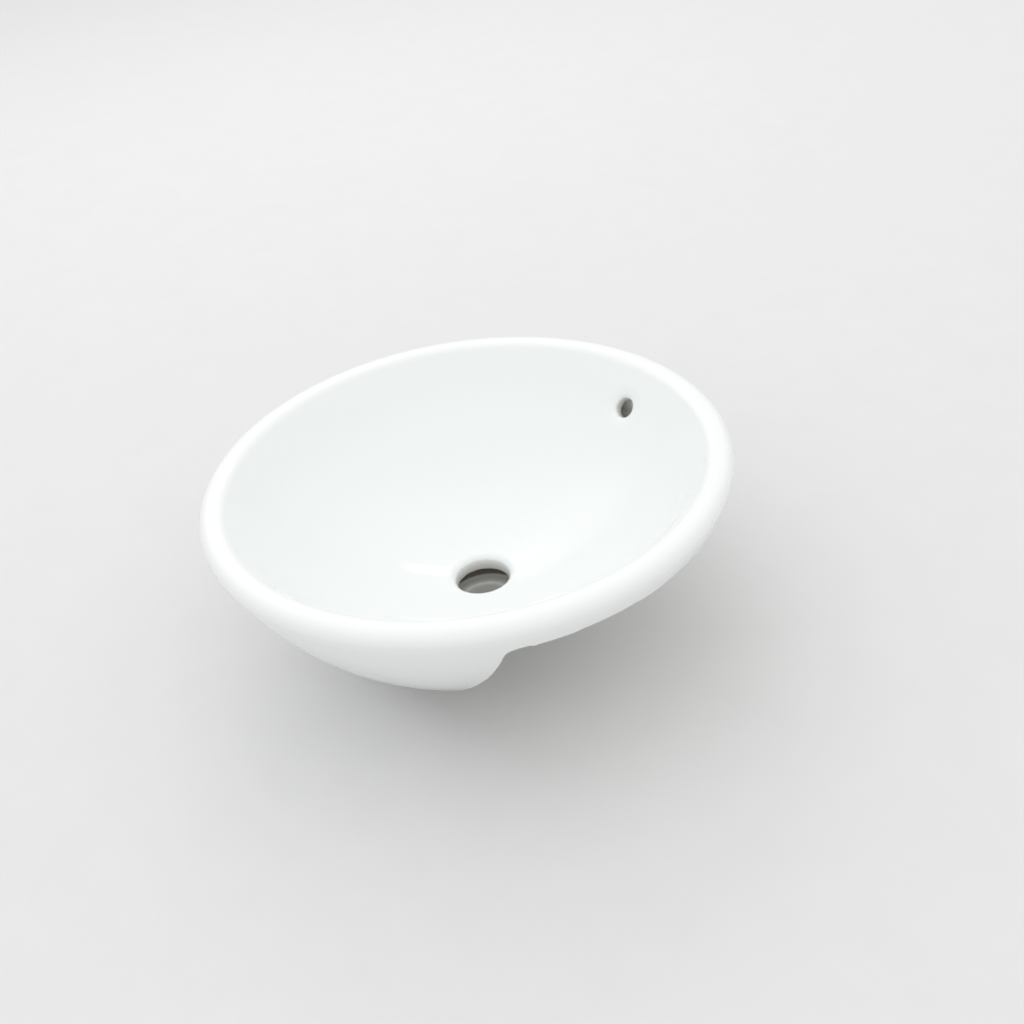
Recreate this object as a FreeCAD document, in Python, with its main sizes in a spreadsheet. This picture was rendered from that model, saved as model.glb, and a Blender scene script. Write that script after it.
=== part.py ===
import FreeCAD, Part
import math
import os

import Sketcher
from FreeCAD import Placement, Rotation, Vector

# Round semi recessed basin of glazed vitreous china, with the clamps that hold it in place.
# Millimetres. The origin is on the bowl's axis, in the plane of the flat seat under the rim.
# +Z is up, +X is right and -Y is the front, where the shell covers the bowl.

# Every driving size: alias, value, what it measures.
SIZES = (
    ("rim_radius", 227, "outermost radius of the rim"),
    ("rim_height", 29, "crest of the rim above the seat"),
    ("lip_outer_round", 10, "rounding of the rim's outer edge"),
    ("lip_inner_round", 10, "rounding from the crest into the bowl"),
    ("crest_width", 4.5, "nearly level land on top of the rim"),
    ("side_angle", 12, "how far the outer round turns in before the side begins, in degrees"),
    ("side_round", 45, "profile radius of the side below the outer round"),
    ("undercut_angle", 23, "how far the side turns in before the shell begins, in degrees"),
    ("shell_radius", 280, "profile radius of the outer shell"),
    ("shell_foot_radius", 104, "radius where the shell's profile stops under the bowl"),
    ("foot_round", 1.5, "rounding of the band's lower edge"),
    ("wall_angle", 54, "steepness of the bowl below the rim, in degrees"),
    ("dish_radius", 230, "profile radius of the bowl's floor"),
    ("mouth_depth", 128.2, "centre of the waste mouth's roll below the crest"),
    ("mouth_round", 9, "roll of the waste mouth"),
    ("waste_radius", 23, "waste hole"),
    ("china", 10, "thickness of the bowl's wall"),
    ("root_round", 6, "fillet from the bowl's back into the band's underside"),
    ("outlet_wall", 8, "china around the overflow ring"),
    ("outlet_length", 141.5, "foot of the waste outlet below the seat"),
    ("outlet_round", 4, "rounding of the outlet's foot"),
    ("ring_depth", 12, "depth of the overflow ring beyond the waste hole"),
    ("mouth_wall", 4.8, "plain wall between the waste mouth's roll and the overflow ring"),
    ("ring_height", 15, "height of the overflow ring"),
    ("cheek_setback", 112, "cheek plane in front of the axis"),
    ("cheek_round", 8, "fillet from the cheeks into the band's underside"),
    ("band_run_out", 20, "length over which the band's lower rounding starts"),
    ("shell_wall", 10, "thickness of the shell and of the cheek wall"),
    ("chamber_top", 5, "top of the casting chamber below the seat"),
    ("vent_radius", 5, "drain hole of the casting chamber"),
    ("vent_reach", 90, "drain holes on either side of the axis"),
    ("vent_depth", 67, "drain holes below the seat"),
    ("seat_reach", 22.5, "rim beyond the neck, which bounds all that hangs behind the cheeks"),
    ("overflow_radius", 9, "overflow hole"),
    ("overflow_drop", 33.4, "overflow hole's centre below the crest"),
    ("overflow_round", 3, "rounding of the overflow hole's edge"),
    ("gallery_width", 34, "width of the overflow passage"),
    ("gallery_depth", 11, "depth of the overflow passage"),
    ("gallery_wall", 7, "wall around the overflow passage"),
    ("gallery_round", 9, "rounding along the overflow passage's outside"),
    ("neck_gap", 0.5, "gap between a lug and the neck's bound"),
    ("clamp_angle", 65, "clamps behind the X axis, in degrees"),
    ("lug_radius", 12, "fixing lug around a stud"),
    ("lug_depth", 30, "foot of a fixing lug below the seat"),
    ("lug_web", 34, "reach of a lug's web towards the bowl"),
    ("socket_radius", 5, "blind hole in a lug"),
    ("socket_depth", 17, "depth of the blind hole"),
    ("plug_gap", 0.1, "radial gap around an anchor plug"),
    ("plug_end_gap", 0.5, "gap above an anchor plug in its hole"),
    ("collar_radius", 7.5, "collar of an anchor plug"),
    ("collar_height", 1.2, "thickness of the collar"),
    ("plug_slot", 1.4, "slots that let the plug spread"),
    ("plug_slot_length", 11, "length of those slots"),
    ("stud_radius", 3, "M6 stud"),
    ("stud_length", 76, "length of a stud"),
    ("stud_embed", 15, "part of a stud inside its plug"),
    ("stud_chamfer", 0.8, "chamfer on a stud's ends"),
    ("thread_gap", 0.06, "radial gap between a stud and what runs on it"),
    ("grip_height", 32, "distance from the seat down to a clamp's tip"),
    ("clamp_gap", 0.3, "gap between a clamp's inner leg and its lug"),
    ("clamp_leg", 10.7, "height of a clamp's inner leg above its web"),
    ("clamp_sheet", 3, "thickness of the clamp strip"),
    ("clamp_width", 22, "width of the clamp strip"),
    ("clamp_tail", 12, "clamp inwards of its stud"),
    ("clamp_reach", 37, "clamp outwards of its stud"),
    ("clamp_bend", 2, "inner bend radius of the clamp strip"),
    ("slot_gap", 0.5, "gap beside the stud in a clamp's slot"),
    ("slot_shift", 3, "half the straight length of a clamp's slot"),
    ("washer_radius", 9, "outside of a washer"),
    ("washer_gap", 0.2, "radial gap between a washer and its stud"),
    ("washer_height", 1.6, "thickness of a washer"),
    ("stack_gap", 0.05, "gap between pieces stacked on a stud"),
    ("nut_height", 8, "height of a wing nut's hub"),
    ("nut_top_radius", 6.6, "hub beside the washer"),
    ("nut_foot_radius", 5.2, "hub at its free end"),
    ("wing_sheet", 2.6, "thickness of a wing"),
    ("wing_reach", 17.5, "wing tips from the stud's axis"),
    ("wing_drop", 13.5, "wing tips below the nut's top"),
    ("wing_round", 2, "rounding of a wing's corners"),
    ("seal_inset", 4, "sealing strip's groove outside the neck"),
    ("seal_width", 5, "width of the groove"),
    ("seal_depth", 2, "depth of the groove"),
    ("seal_gap", 0.25, "gap between the strip and its groove"),
    ("seal_end_angle", 26, "where the strip ends in front of the X axis, in degrees"),
)

# Places that follow from those sizes.
NECK = "(Sizes.rim_radius - Sizes.seat_reach)"
STUD_CIRCLE = f"({NECK} - Sizes.neck_gap - Sizes.lug_radius)"
SEAL_INNER = f"({NECK} + Sizes.seal_inset)"
RING_RADIUS = "(Sizes.waste_radius + Sizes.ring_depth)"
RING_CEILING = "(Sizes.rim_height - Sizes.mouth_depth - Sizes.mouth_wall)"
OUTLET_RADIUS = f"({RING_RADIUS} + Sizes.outlet_wall)"
PLUG_LENGTH = "(Sizes.socket_depth - Sizes.plug_end_gap)"
SLOT_RADIUS = "(Sizes.stud_radius + Sizes.slot_gap)"

XZ = Rotation(Vector(1, 0, 0), 90)
YZ = Rotation(Vector(1, 1, 1), 120)

doc = FreeCAD.newDocument("semi_recessed_basin")
sheet = doc.addObject("Spreadsheet::Sheet", "Sizes")
for row, (alias, value, note) in enumerate(SIZES, start=1):
    sheet.set(f"A{row}", note)
    sheet.set(f"B{row}", str(value))
    sheet.setAlias(f"B{row}", alias)
doc.recompute()


def size(alias):
    """One driving size from the sheet."""
    return float(getattr(sheet, alias))


def worth(formula):
    """What a formula of the sheet comes to."""
    return float(sheet.evalExpression(formula))


def bind(thing, **sizes):
    """Ties properties of an object to the sheet; an underscore pair in a key stands for a dot."""
    for key, formula in sizes.items():
        thing.setExpression(key.replace("__", "."), formula)


def turned_in(alias):
    """The direction that points outward and down by an angle of the sheet."""
    angle = math.radians(size(alias))
    return Vector(math.cos(angle), -math.sin(angle), 0)


def crossing(centre, radius, level):
    """Where a profile circle's right half crosses a level."""
    return Vector(centre.x + math.sqrt(radius**2 - (level - centre.y) ** 2), level, 0)


def foot_at(centre, radius, reach):
    """Where a profile circle's lower half passes a distance from the axis."""
    return Vector(reach, centre.y - math.sqrt(radius**2 - (reach - centre.x) ** 2), 0)


class Outline:
    """A closed outline drawn into a sketch, corner after corner."""

    def __init__(self, sketch, start):
        self.sketch = sketch
        self.start = Vector(*start)
        self.here = self.start
        self.first = None
        self.last = None
        self.last_end = 2

    def _join(self, geometry, begin, tangent):
        """Ties the new piece's beginning to the last piece's end."""
        if self.last is None:
            self.first = (geometry, begin)
        else:
            kind = "Tangent" if tangent else "Coincident"
            joint = Sketcher.Constraint(kind, self.last, self.last_end, geometry, begin)
            self.sketch.addConstraint(joint)
        self.last = geometry

    def line(self, x, y, tangent=False, level=None):
        """A straight side to a corner; level names its direction if it is upright or flat."""
        end = Vector(x, y, 0)
        piece = self.sketch.addGeometry(Part.LineSegment(self.here, end), False)
        self._join(piece, 1, tangent)
        self.last_end = 2
        self.here = end
        if level:
            self.sketch.addConstraint(Sketcher.Constraint(level, piece))
        return self

    def arc(self, centre, end, counterclockwise, tangent=False, radius=None):
        """A round side about a centre; radius is a formula that holds its size."""
        centre = Vector(*centre)
        end = Vector(*end)
        first, second = (self.here, end) if counterclockwise else (end, self.here)
        reach = (self.here - centre).Length
        begin_turn = math.atan2(first.y - centre.y, first.x - centre.x)
        end_turn = math.atan2(second.y - centre.y, second.x - centre.x)
        if end_turn < begin_turn:
            end_turn += 2 * math.pi
        circle = Part.Circle(centre, Vector(0, 0, 1), reach)
        piece = self.sketch.addGeometry(Part.ArcOfCircle(circle, begin_turn, end_turn), False)
        self._join(piece, 1 if counterclockwise else 2, tangent)
        self.last_end = 2 if counterclockwise else 1
        self.here = end
        if radius:
            index = self.sketch.addConstraint(Sketcher.Constraint("Radius", piece, reach))
            self.sketch.setExpression(f"Constraints[{index}]", radius)
        return self

    def hold(self, x=None, y=None):
        """Ties the corner just reached to formulas for its place."""
        for kind, formula, place in (("DistanceX", x, self.here.x), ("DistanceY", y, self.here.y)):
            if formula:
                measure = Sketcher.Constraint(kind, -1, 1, self.last, self.last_end, place)
                index = self.sketch.addConstraint(measure)
                self.sketch.setExpression(f"Constraints[{index}]", formula)
        return self

    def close(self, tangent=False):
        """Ties the last corner to the first."""
        kind = "Tangent" if tangent else "Coincident"
        joint = Sketcher.Constraint(kind, self.last, self.last_end, *self.first)
        self.sketch.addConstraint(joint)


def free_sketch(name, rotation):
    """A sketch of the china's construction, in the plane that the rotation gives."""
    sketch = doc.addObject("Sketcher::SketchObject", name)
    sketch.Placement = Placement(Vector(0, 0, 0), rotation)
    return sketch


def revolved(name, sketch):
    """A profile turned once about the bowl's axis."""
    turned = doc.addObject("Part::Revolution", name)
    turned.Source = sketch
    turned.Axis = Vector(0, 0, 1)
    turned.Base = Vector(0, 0, 0)
    turned.Angle = 360
    turned.Solid = True
    return turned


def drawn_across(name, sketch, half_width):
    """An outline of the YZ plane extended to both sides by a formula's length."""
    block = doc.addObject("Part::Extrusion", name)
    block.Base = sketch
    block.DirMode = "Custom"
    block.Dir = Vector(1, 0, 0)
    block.Solid = True
    bind(block, LengthFwd=half_width, LengthRev=half_width)
    return block


def pair(kind, name, base, tool):
    """A boolean of two objects."""
    result = doc.addObject(kind, name)
    result.Base = base
    result.Tool = tool
    return result


def group(kind, name, shapes):
    """A boolean of many objects."""
    result = doc.addObject(kind, name)
    result.Shapes = shapes
    return result


class Profile:
    """The basin's profile points, worked out once from the sheet."""

    def __init__(self):
        rim = size("rim_radius")
        crest = size("rim_height")
        lip = size("lip_outer_round")
        side = size("side_round")
        shell = size("shell_radius")
        self.lip_centre = Vector(rim - lip, crest - lip, 0)
        self.lip_top = Vector(rim - lip, crest, 0)
        outward = turned_in("side_angle")
        self.lip_foot = self.lip_centre + outward * lip
        self.side_centre = self.lip_foot - outward * side
        outward = turned_in("undercut_angle")
        self.side_foot = self.side_centre + outward * side
        self.shell_centre = self.side_foot - outward * shell

        slope = math.radians(size("wall_angle"))
        inner = size("lip_inner_round")
        self.inner_top = Vector(rim - lip - size("crest_width"), crest, 0)
        self.inner_centre = self.inner_top - Vector(0, inner, 0)
        self.down = Vector(-math.cos(slope), -math.sin(slope), 0)
        self.inward = Vector(-math.sin(slope), math.cos(slope), 0)
        self.wall_top = self.inner_centre + self.inward * inner

        dish = size("dish_radius")
        roll = size("mouth_round")
        waste = size("waste_radius")
        self.roll_centre = Vector(waste + roll, crest - size("mouth_depth"), 0)
        # The dish touches the wall's line from within and the mouth's roll from above.
        offset = self.wall_top + self.inward * dish - self.roll_centre
        along = offset.dot(self.down)
        across = offset.dot(offset) - (dish + roll) ** 2
        run = -along - math.sqrt(along**2 - across)
        if run < 0:
            run = -along + math.sqrt(along**2 - across)
        self.wall_foot = self.wall_top + self.down * run
        self.dish_centre = self.wall_foot + self.inward * dish
        towards = (self.roll_centre - self.dish_centre).normalize()
        self.dish_foot = self.dish_centre + towards * dish

    def below_dish(self, depth, reach):
        """The point under the bowl's floor, that deep in it, at a distance from the axis."""
        return foot_at(self.dish_centre, size("dish_radius") + depth, reach)

    def behind_wall(self, point, depth):
        """The point behind the bowl's straight wall, that deep in it."""
        return point - self.inward * depth


def china_blank(profile):
    """The solid blank: the outer shell from lip to foot, and the waste outlet."""
    foot = foot_at(profile.shell_centre, size("shell_radius"), size("shell_foot_radius"))
    outlet = worth(OUTLET_RADIUS)
    bottom = -size("outlet_length")
    round_off = size("outlet_round")
    sketch = free_sketch("blank_profile", XZ)
    edge = Outline(sketch, (0, bottom))
    edge.line(outlet - round_off, bottom, level="Horizontal")
    edge.hold(y="-Sizes.outlet_length")
    edge.arc((outlet - round_off, bottom + round_off), (outlet, bottom + round_off), True,
             tangent=True, radius="Sizes.outlet_round")
    edge.line(outlet, foot.y, tangent=True, level="Vertical")
    edge.hold(x=OUTLET_RADIUS)
    edge.line(foot.x, foot.y, level="Horizontal")
    edge.hold(x="Sizes.shell_foot_radius")
    edge.arc(profile.shell_centre, profile.side_foot, True, radius="Sizes.shell_radius")
    edge.arc(profile.side_centre, profile.lip_foot, True, tangent=True,
             radius="Sizes.side_round")
    edge.arc(profile.lip_centre, profile.lip_top, True, tangent=True,
             radius="Sizes.lip_outer_round")
    edge.hold(x="Sizes.rim_radius - Sizes.lip_outer_round", y="Sizes.rim_height")
    edge.line(0, profile.lip_top.y, tangent=True, level="Horizontal")
    edge.line(0, bottom, level="Vertical")
    edge.close()
    return revolved("china_blank", sketch)


def bowl_space(profile):
    """The space inside the bowl and the waste hole, cut out last of all."""
    above = profile.lip_top.y + size("rim_height")
    below = -size("outlet_length") - size("outlet_round")
    waste = size("waste_radius")
    sketch = free_sketch("bowl_profile", XZ)
    edge = Outline(sketch, (0, below))
    edge.line(waste, below, level="Horizontal")
    edge.line(waste, profile.roll_centre.y, level="Vertical")
    edge.hold(x="Sizes.waste_radius")
    edge.arc(profile.roll_centre, profile.dish_foot, False, tangent=True,
             radius="Sizes.mouth_round")
    edge.arc(profile.dish_centre, profile.wall_foot, True, tangent=True,
             radius="Sizes.dish_radius")
    edge.line(profile.wall_top.x, profile.wall_top.y, tangent=True)
    edge.arc(profile.inner_centre, profile.inner_top, False, tangent=True,
             radius="Sizes.lip_inner_round")
    edge.hold(x="Sizes.rim_radius - Sizes.lip_outer_round - Sizes.crest_width",
              y="Sizes.rim_height")
    edge.line(profile.inner_top.x, above, level="Vertical")
    edge.line(0, above, level="Horizontal")
    edge.line(0, below, level="Vertical")
    edge.close()
    return revolved("bowl_space", sketch)


def rear_relief(profile):
    """What is taken away behind the cheeks: everything outside the bowl's own wall."""
    china = size("china")
    root = size("root_round")
    outlet = worth(OUTLET_RADIUS)
    deep = -size("outlet_length") - size("china")
    wide = size("rim_radius") + size("china")
    start = profile.below_dish(china, outlet)
    wall_foot = profile.behind_wall(profile.wall_foot, china)
    # The root fillet touches the wall's back and the seat's plane from below.
    back = profile.behind_wall(profile.wall_top, china + root)
    run = (back.y + root) / -profile.down.y
    root_centre = back + profile.down * run
    root_start = root_centre + profile.inward * root
    root_end = Vector(root_centre.x, 0, 0)
    foot = size("foot_round")
    foot_centre = crossing(profile.shell_centre, size("shell_radius") - foot, foot)
    touch = (foot_centre - profile.shell_centre).normalize()
    foot_end = profile.shell_centre + touch * size("shell_radius")
    sketch = free_sketch("relief_profile", XZ)
    edge = Outline(sketch, (outlet, deep))
    edge.line(outlet, start.y, level="Vertical")
    edge.hold(x=OUTLET_RADIUS)
    edge.arc(profile.dish_centre, wall_foot, True, radius="Sizes.dish_radius + Sizes.china")
    edge.line(root_start.x, root_start.y, tangent=True)
    edge.arc(root_centre, root_end, False, tangent=True, radius="Sizes.root_round")
    edge.line(foot_centre.x, 0, tangent=True, level="Horizontal")
    edge.arc(foot_centre, foot_end, True, tangent=True, radius="Sizes.foot_round")
    edge.line(wide, foot_end.y, level="Horizontal")
    edge.line(wide, deep, level="Vertical")
    edge.line(outlet, deep, level="Horizontal")
    edge.close()
    return revolved("relief_ring", sketch)


def rear_region():
    """The region behind the cheek plane, rounded in at the top of the cheeks."""
    cheek = -size("cheek_setback")
    turn = size("cheek_round")
    run_out = cheek + turn + size("band_run_out")
    above = size("rim_height")
    rise = size("foot_round") * 2
    below = -size("outlet_length") * 2
    back = size("rim_radius") * 2
    sketch = free_sketch("rear_outline", YZ)
    edge = Outline(sketch, (cheek, below))
    edge.line(cheek, -turn, level="Vertical")
    edge.hold(x="-Sizes.cheek_setback")
    edge.arc((cheek + turn, -turn), (cheek + turn, 0), False, tangent=True,
             radius="Sizes.cheek_round")
    edge.hold(y="0")
    edge.line(run_out, rise)
    edge.line(run_out, above, level="Vertical")
    edge.hold(x="Sizes.cheek_round + Sizes.band_run_out - Sizes.cheek_setback")
    edge.line(back, above, level="Horizontal")
    edge.line(back, below, level="Vertical")
    edge.line(cheek, below, level="Horizontal")
    edge.close()
    return drawn_across("rear_region", sketch, "2 * Sizes.rim_radius")


def casting_chamber(profile):
    """The hollow between the bowl and the front shell, and its two drain holes."""
    wall = size("shell_wall")
    china = size("china")
    top = -size("chamber_top")
    near = size("shell_foot_radius")
    shell = size("shell_radius") - wall
    outer_top = crossing(profile.shell_centre, shell, top)
    outer_foot = foot_at(profile.shell_centre, shell, near)
    inner_foot = profile.below_dish(china, near)
    inner_top = crossing(profile.dish_centre, size("dish_radius") + china, top)
    sketch = free_sketch("chamber_profile", XZ)
    edge = Outline(sketch, (near, outer_foot.y))
    edge.arc(profile.shell_centre, outer_top, True, radius="Sizes.shell_radius - Sizes.shell_wall")
    edge.line(inner_top.x, top, level="Horizontal")
    edge.hold(y="-Sizes.chamber_top")
    edge.arc(profile.dish_centre, inner_foot, False, radius="Sizes.dish_radius + Sizes.china")
    edge.line(near, outer_foot.y, level="Vertical")
    edge.hold(x="Sizes.shell_foot_radius")
    edge.close()
    ring = revolved("chamber_ring", sketch)
    front = doc.addObject("Part::Box", "chamber_region")
    bind(front, Length="4 * Sizes.rim_radius", Width="2 * Sizes.rim_radius",
         Height="2 * Sizes.outlet_length", Placement__Base__x="-2 * Sizes.rim_radius",
         Placement__Base__y="-2 * Sizes.rim_radius - Sizes.cheek_setback - Sizes.shell_wall",
         Placement__Base__z="-2 * Sizes.outlet_length")
    holes = []
    for side, sign in (("left", "-"), ("right", "")):
        hole = doc.addObject("Part::Cylinder", f"vent_{side}")
        hole.Placement = Placement(Vector(0, 0, 0), XZ)
        bind(hole, Radius="Sizes.vent_radius", Height="4 * Sizes.shell_wall",
             Placement__Base__x=f"{sign}Sizes.vent_reach",
             Placement__Base__y="2 * Sizes.shell_wall - Sizes.cheek_setback",
             Placement__Base__z="-Sizes.vent_depth")
        holes.append(hole)
    chamber = pair("Part::Common", "chamber", ring, front)
    return [chamber] + holes


def gallery_outline(profile, name, shallow, deep, near, reach, top):
    """A band under the bowl's back, between two depths, from the outlet to an upright end."""
    radius = size("dish_radius")
    lower = profile.below_dish(deep, near)
    upper = profile.below_dish(shallow, near)
    deep_end = foot_at(profile.dish_centre, radius + deep, reach)
    shallow_end = crossing(profile.dish_centre, radius + shallow, top)
    sketch = free_sketch(name, YZ)
    edge = Outline(sketch, (near, lower.y))
    edge.arc(profile.dish_centre, deep_end, True)
    edge.line(reach, top, level="Vertical")
    edge.line(shallow_end.x, top, level="Horizontal")
    edge.arc(profile.dish_centre, upper, False)
    edge.line(near, lower.y, level="Vertical")
    edge.close()
    return sketch


def overflow_passage(profile):
    """The solid bulge that holds the passage, and the hollows cut into it."""
    china = size("china")
    wall = size("gallery_wall")
    depth = size("gallery_depth")
    reach = worth(NECK)
    bulge_outline = gallery_outline(profile, "bulge_outline", china / 2, china + depth + wall,
                                    size("waste_radius") + wall, reach, size("foot_round") / 2)
    bulge_block = drawn_across("bulge_block", bulge_outline,
                               "Sizes.gallery_width / 2 + Sizes.gallery_wall")
    neck = doc.addObject("Part::Cylinder", "neck")
    bind(neck, Radius=NECK, Height="Sizes.outlet_length + Sizes.rim_height",
         Placement__Base__z="-Sizes.outlet_length")
    doc.recompute()
    rounded = doc.addObject("Part::Fillet", "bulge_rounded")
    rounded.Base = bulge_block
    limit = min(size("gallery_round"), size("gallery_width") / 3)
    rounded.Edges = [(number, limit, limit) for number, edge in
                     enumerate(bulge_block.Shape.Edges, start=1) if lies_below(profile, edge)]
    bulge = pair("Part::Common", "bulge", rounded, neck)

    passage_outline = gallery_outline(profile, "passage_outline", china, china + depth,
                                      size("waste_radius") + wall / 2, reach - wall,
                                      -size("foot_round"))
    passage_block = drawn_across("passage_block", passage_outline, "Sizes.gallery_width / 2")
    bore = doc.addObject("Part::Cylinder", "passage_limit")
    bind(bore, Radius=f"{NECK} - Sizes.gallery_wall",
         Height="Sizes.outlet_length + Sizes.rim_height",
         Placement__Base__z="-Sizes.outlet_length")
    passage = pair("Part::Common", "passage", passage_block, bore)

    ring = doc.addObject("Part::Cylinder", "overflow_ring")
    bind(ring, Radius=RING_RADIUS, Height="Sizes.ring_height",
         Placement__Base__z=f"{RING_CEILING} - Sizes.ring_height")
    return bulge, [passage, ring, overflow_hole(profile)]


def lies_below(profile, edge):
    """Whether an edge of the bulge runs along its underside."""
    middle = edge.valueAt((edge.FirstParameter + edge.LastParameter) / 2)
    depth = math.hypot(middle.y - profile.dish_centre.x, middle.z - profile.dish_centre.y)
    full = size("dish_radius") + size("china") + size("gallery_depth") + size("gallery_wall")
    return abs(depth - full) < 0.01 and abs(middle.x) > 0.01


def overflow_hole(profile):
    """A round hole square to the bowl's wall, with a soft edge."""
    radius = size("overflow_radius")
    soft = size("overflow_round")
    deep = size("china") + size("gallery_depth") / 2
    level = size("rim_height") - size("overflow_drop")
    place = crossing(profile.dish_centre, size("dish_radius"), level)
    out_of_wall = (profile.dish_centre - place).normalize()
    sketch = free_sketch("overflow_profile", XZ)
    edge = Outline(sketch, (0, -deep))
    edge.line(radius, -deep, level="Horizontal")
    edge.line(radius, -soft, level="Vertical")
    edge.hold(x="Sizes.overflow_radius")
    edge.arc((radius + soft, -soft), (radius + soft, 0), False, tangent=True,
             radius="Sizes.overflow_round")
    edge.hold(y="0")
    edge.line(radius + soft, deep, level="Vertical")
    edge.line(0, deep, level="Horizontal")
    edge.line(0, -deep, level="Vertical")
    edge.close()
    cutter = revolved("overflow_cutter", sketch)
    normal = Vector(0, out_of_wall.x, out_of_wall.y)
    cutter.Placement = Placement(Vector(0, place.x, place.y), Rotation(Vector(0, 0, 1), normal))
    return cutter


# Where the two clamps stand: name, angle about the axis as a formula of the sheet. They pull
# down behind the axis, against the weight that hangs out in front of the cheeks.
STATIONS = (
    ("left", "180 - Sizes.clamp_angle"),
    ("right", "Sizes.clamp_angle"),
)


def stand_at(thing, angle, height="0"):
    """Places a piece on a stud's axis, facing straight out from the bowl."""
    bind(thing, Placement__Base__x=f"{STUD_CIRCLE} * cos({angle})",
         Placement__Base__y=f"{STUD_CIRCLE} * sin({angle})",
         Placement__Base__z=height, Placement__Rotation__Angle=angle)


def fixing_lug(station, angle):
    """The china lug that takes a clamp's anchor plug, and its blind hole."""
    post = doc.addObject("Part::Cylinder", f"lug_post_{station}")
    bind(post, Radius="Sizes.lug_radius", Height="Sizes.lug_depth + Sizes.foot_round")
    stand_at(post, angle, "-Sizes.lug_depth")
    web = doc.addObject("Part::Box", f"lug_web_{station}")
    bind(web, Length="Sizes.lug_web", Width="2 * Sizes.lug_radius",
         Height="Sizes.lug_depth + Sizes.foot_round")
    bind(web, Placement__Base__x=f"{STUD_CIRCLE} * cos({angle})"
         f" - Sizes.lug_web * cos({angle}) + Sizes.lug_radius * sin({angle})",
         Placement__Base__y=f"{STUD_CIRCLE} * sin({angle})"
         f" - Sizes.lug_web * sin({angle}) - Sizes.lug_radius * cos({angle})",
         Placement__Base__z="-Sizes.lug_depth", Placement__Rotation__Angle=angle)
    socket = doc.addObject("Part::Cylinder", f"socket_{station}")
    bind(socket, Radius="Sizes.socket_radius", Height="2 * Sizes.socket_depth")
    stand_at(socket, angle, "-Sizes.lug_depth - Sizes.socket_depth")
    return [post, web], socket


def seal_groove():
    """The shallow groove under the rim, open from one cheek round the back to the other."""
    sketch = free_sketch("groove_profile", XZ)
    inner = worth(SEAL_INNER)
    outer = inner + size("seal_width")
    top = size("seal_depth")
    edge = Outline(sketch, (inner, -top))
    edge.line(outer, -top, level="Horizontal")
    edge.line(outer, top, level="Vertical")
    edge.hold(x=f"{SEAL_INNER} + Sizes.seal_width", y="Sizes.seal_depth")
    edge.line(inner, top, level="Horizontal")
    edge.hold(x=SEAL_INNER)
    edge.line(inner, -top, level="Vertical")
    edge.close()
    groove = revolved("seal_groove", sketch)
    bind(groove, Angle="180 + 2 * Sizes.seal_end_angle")
    groove.Placement = Placement(Vector(0, 0, 0), Rotation(Vector(0, 0, 1), 0))
    bind(groove, Placement__Rotation__Angle="-Sizes.seal_end_angle")
    return groove


def basin_body():
    """The whole fired piece: bowl, rim, front shell, outlet, overflow passage and lugs."""
    profile = Profile()
    relief = pair("Part::Common", "rear_relief", rear_relief(profile), rear_region())
    carved = pair("Part::Cut", "carved_blank", china_blank(profile), relief)
    bulge, hollows = overflow_passage(profile)
    solids = [carved, bulge]
    for station, angle in STATIONS:
        lug, socket = fixing_lug(station, angle)
        solids += lug
        hollows.append(socket)
    joined = group("Part::MultiFuse", "joined_china", solids)
    hollows += casting_chamber(profile) + [seal_groove(), bowl_space(profile)]
    spaces = group("Part::MultiFuse", "china_spaces", hollows)
    body = pair("Part::Cut", "basin_body", joined, spaces)
    body.Label = "basin_body"
    return body


def new_body(label):
    """An empty body with its own name."""
    body = doc.addObject("PartDesign::Body", label)
    body.Label = label
    return body


def body_sketch(body, name, plane):
    """A sketch on one of a body's own origin planes."""
    sketch = body.newObject("Sketcher::SketchObject", name)
    faces = [feature for feature in body.Origin.OriginFeatures if feature.Role == plane]
    sketch.AttachmentSupport = (faces[0], [""])
    sketch.MapMode = "FlatFace"
    return sketch


def ring_sketch(body, name, outer, inner=None):
    """One or two circles about the body's axis, their radii held by formulas."""
    sketch = body_sketch(body, name, "XY_Plane")
    for formula in (outer, inner):
        if formula:
            radius = worth(formula)
            circle = Part.Circle(Vector(0, 0, 0), Vector(0, 0, 1), radius)
            piece = sketch.addGeometry(circle, False)
            sketch.addConstraint(Sketcher.Constraint("Coincident", piece, 3, -1, 1))
            index = sketch.addConstraint(Sketcher.Constraint("Radius", piece, radius))
            sketch.setExpression(f"Constraints[{index}]", formula)
    return sketch


def pad(body, name, sketch, length, reverse=False, middle=False):
    """A sketch made solid over a formula's length."""
    feature = body.newObject("PartDesign::Pad", name)
    feature.Profile = sketch
    feature.Reversed = reverse
    feature.Midplane = middle
    bind(feature, Length=length)
    return feature


def pocket(body, name, sketch, length=None, reverse=False, middle=False):
    """A sketch cut away, right through if no length is given."""
    feature = body.newObject("PartDesign::Pocket", name)
    feature.Profile = sketch
    feature.Reversed = reverse
    feature.Midplane = middle
    if length:
        bind(feature, Length=length)
    else:
        feature.Type = "ThroughAll"
    return feature


def dress(body, kind, name, feature, edges, formula):
    """A fillet or chamfer along the chosen edges of a feature."""
    trim = body.newObject(kind, name)
    trim.Base = (feature, edges)
    bind(trim, **{"Radius" if kind.endswith("Fillet") else "Size": formula})
    return trim


def edges_where(feature, wanted):
    """Names of a feature's edges whose middle point and direction are wanted."""
    doc.recompute()
    names = []
    for number, edge in enumerate(feature.Shape.Edges, start=1):
        middle = edge.valueAt((edge.FirstParameter + edge.LastParameter) / 2)
        along = edge.tangentAt(edge.FirstParameter)
        if wanted(edge, middle, along):
            names.append(f"Edge{number}")
    return names


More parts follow.
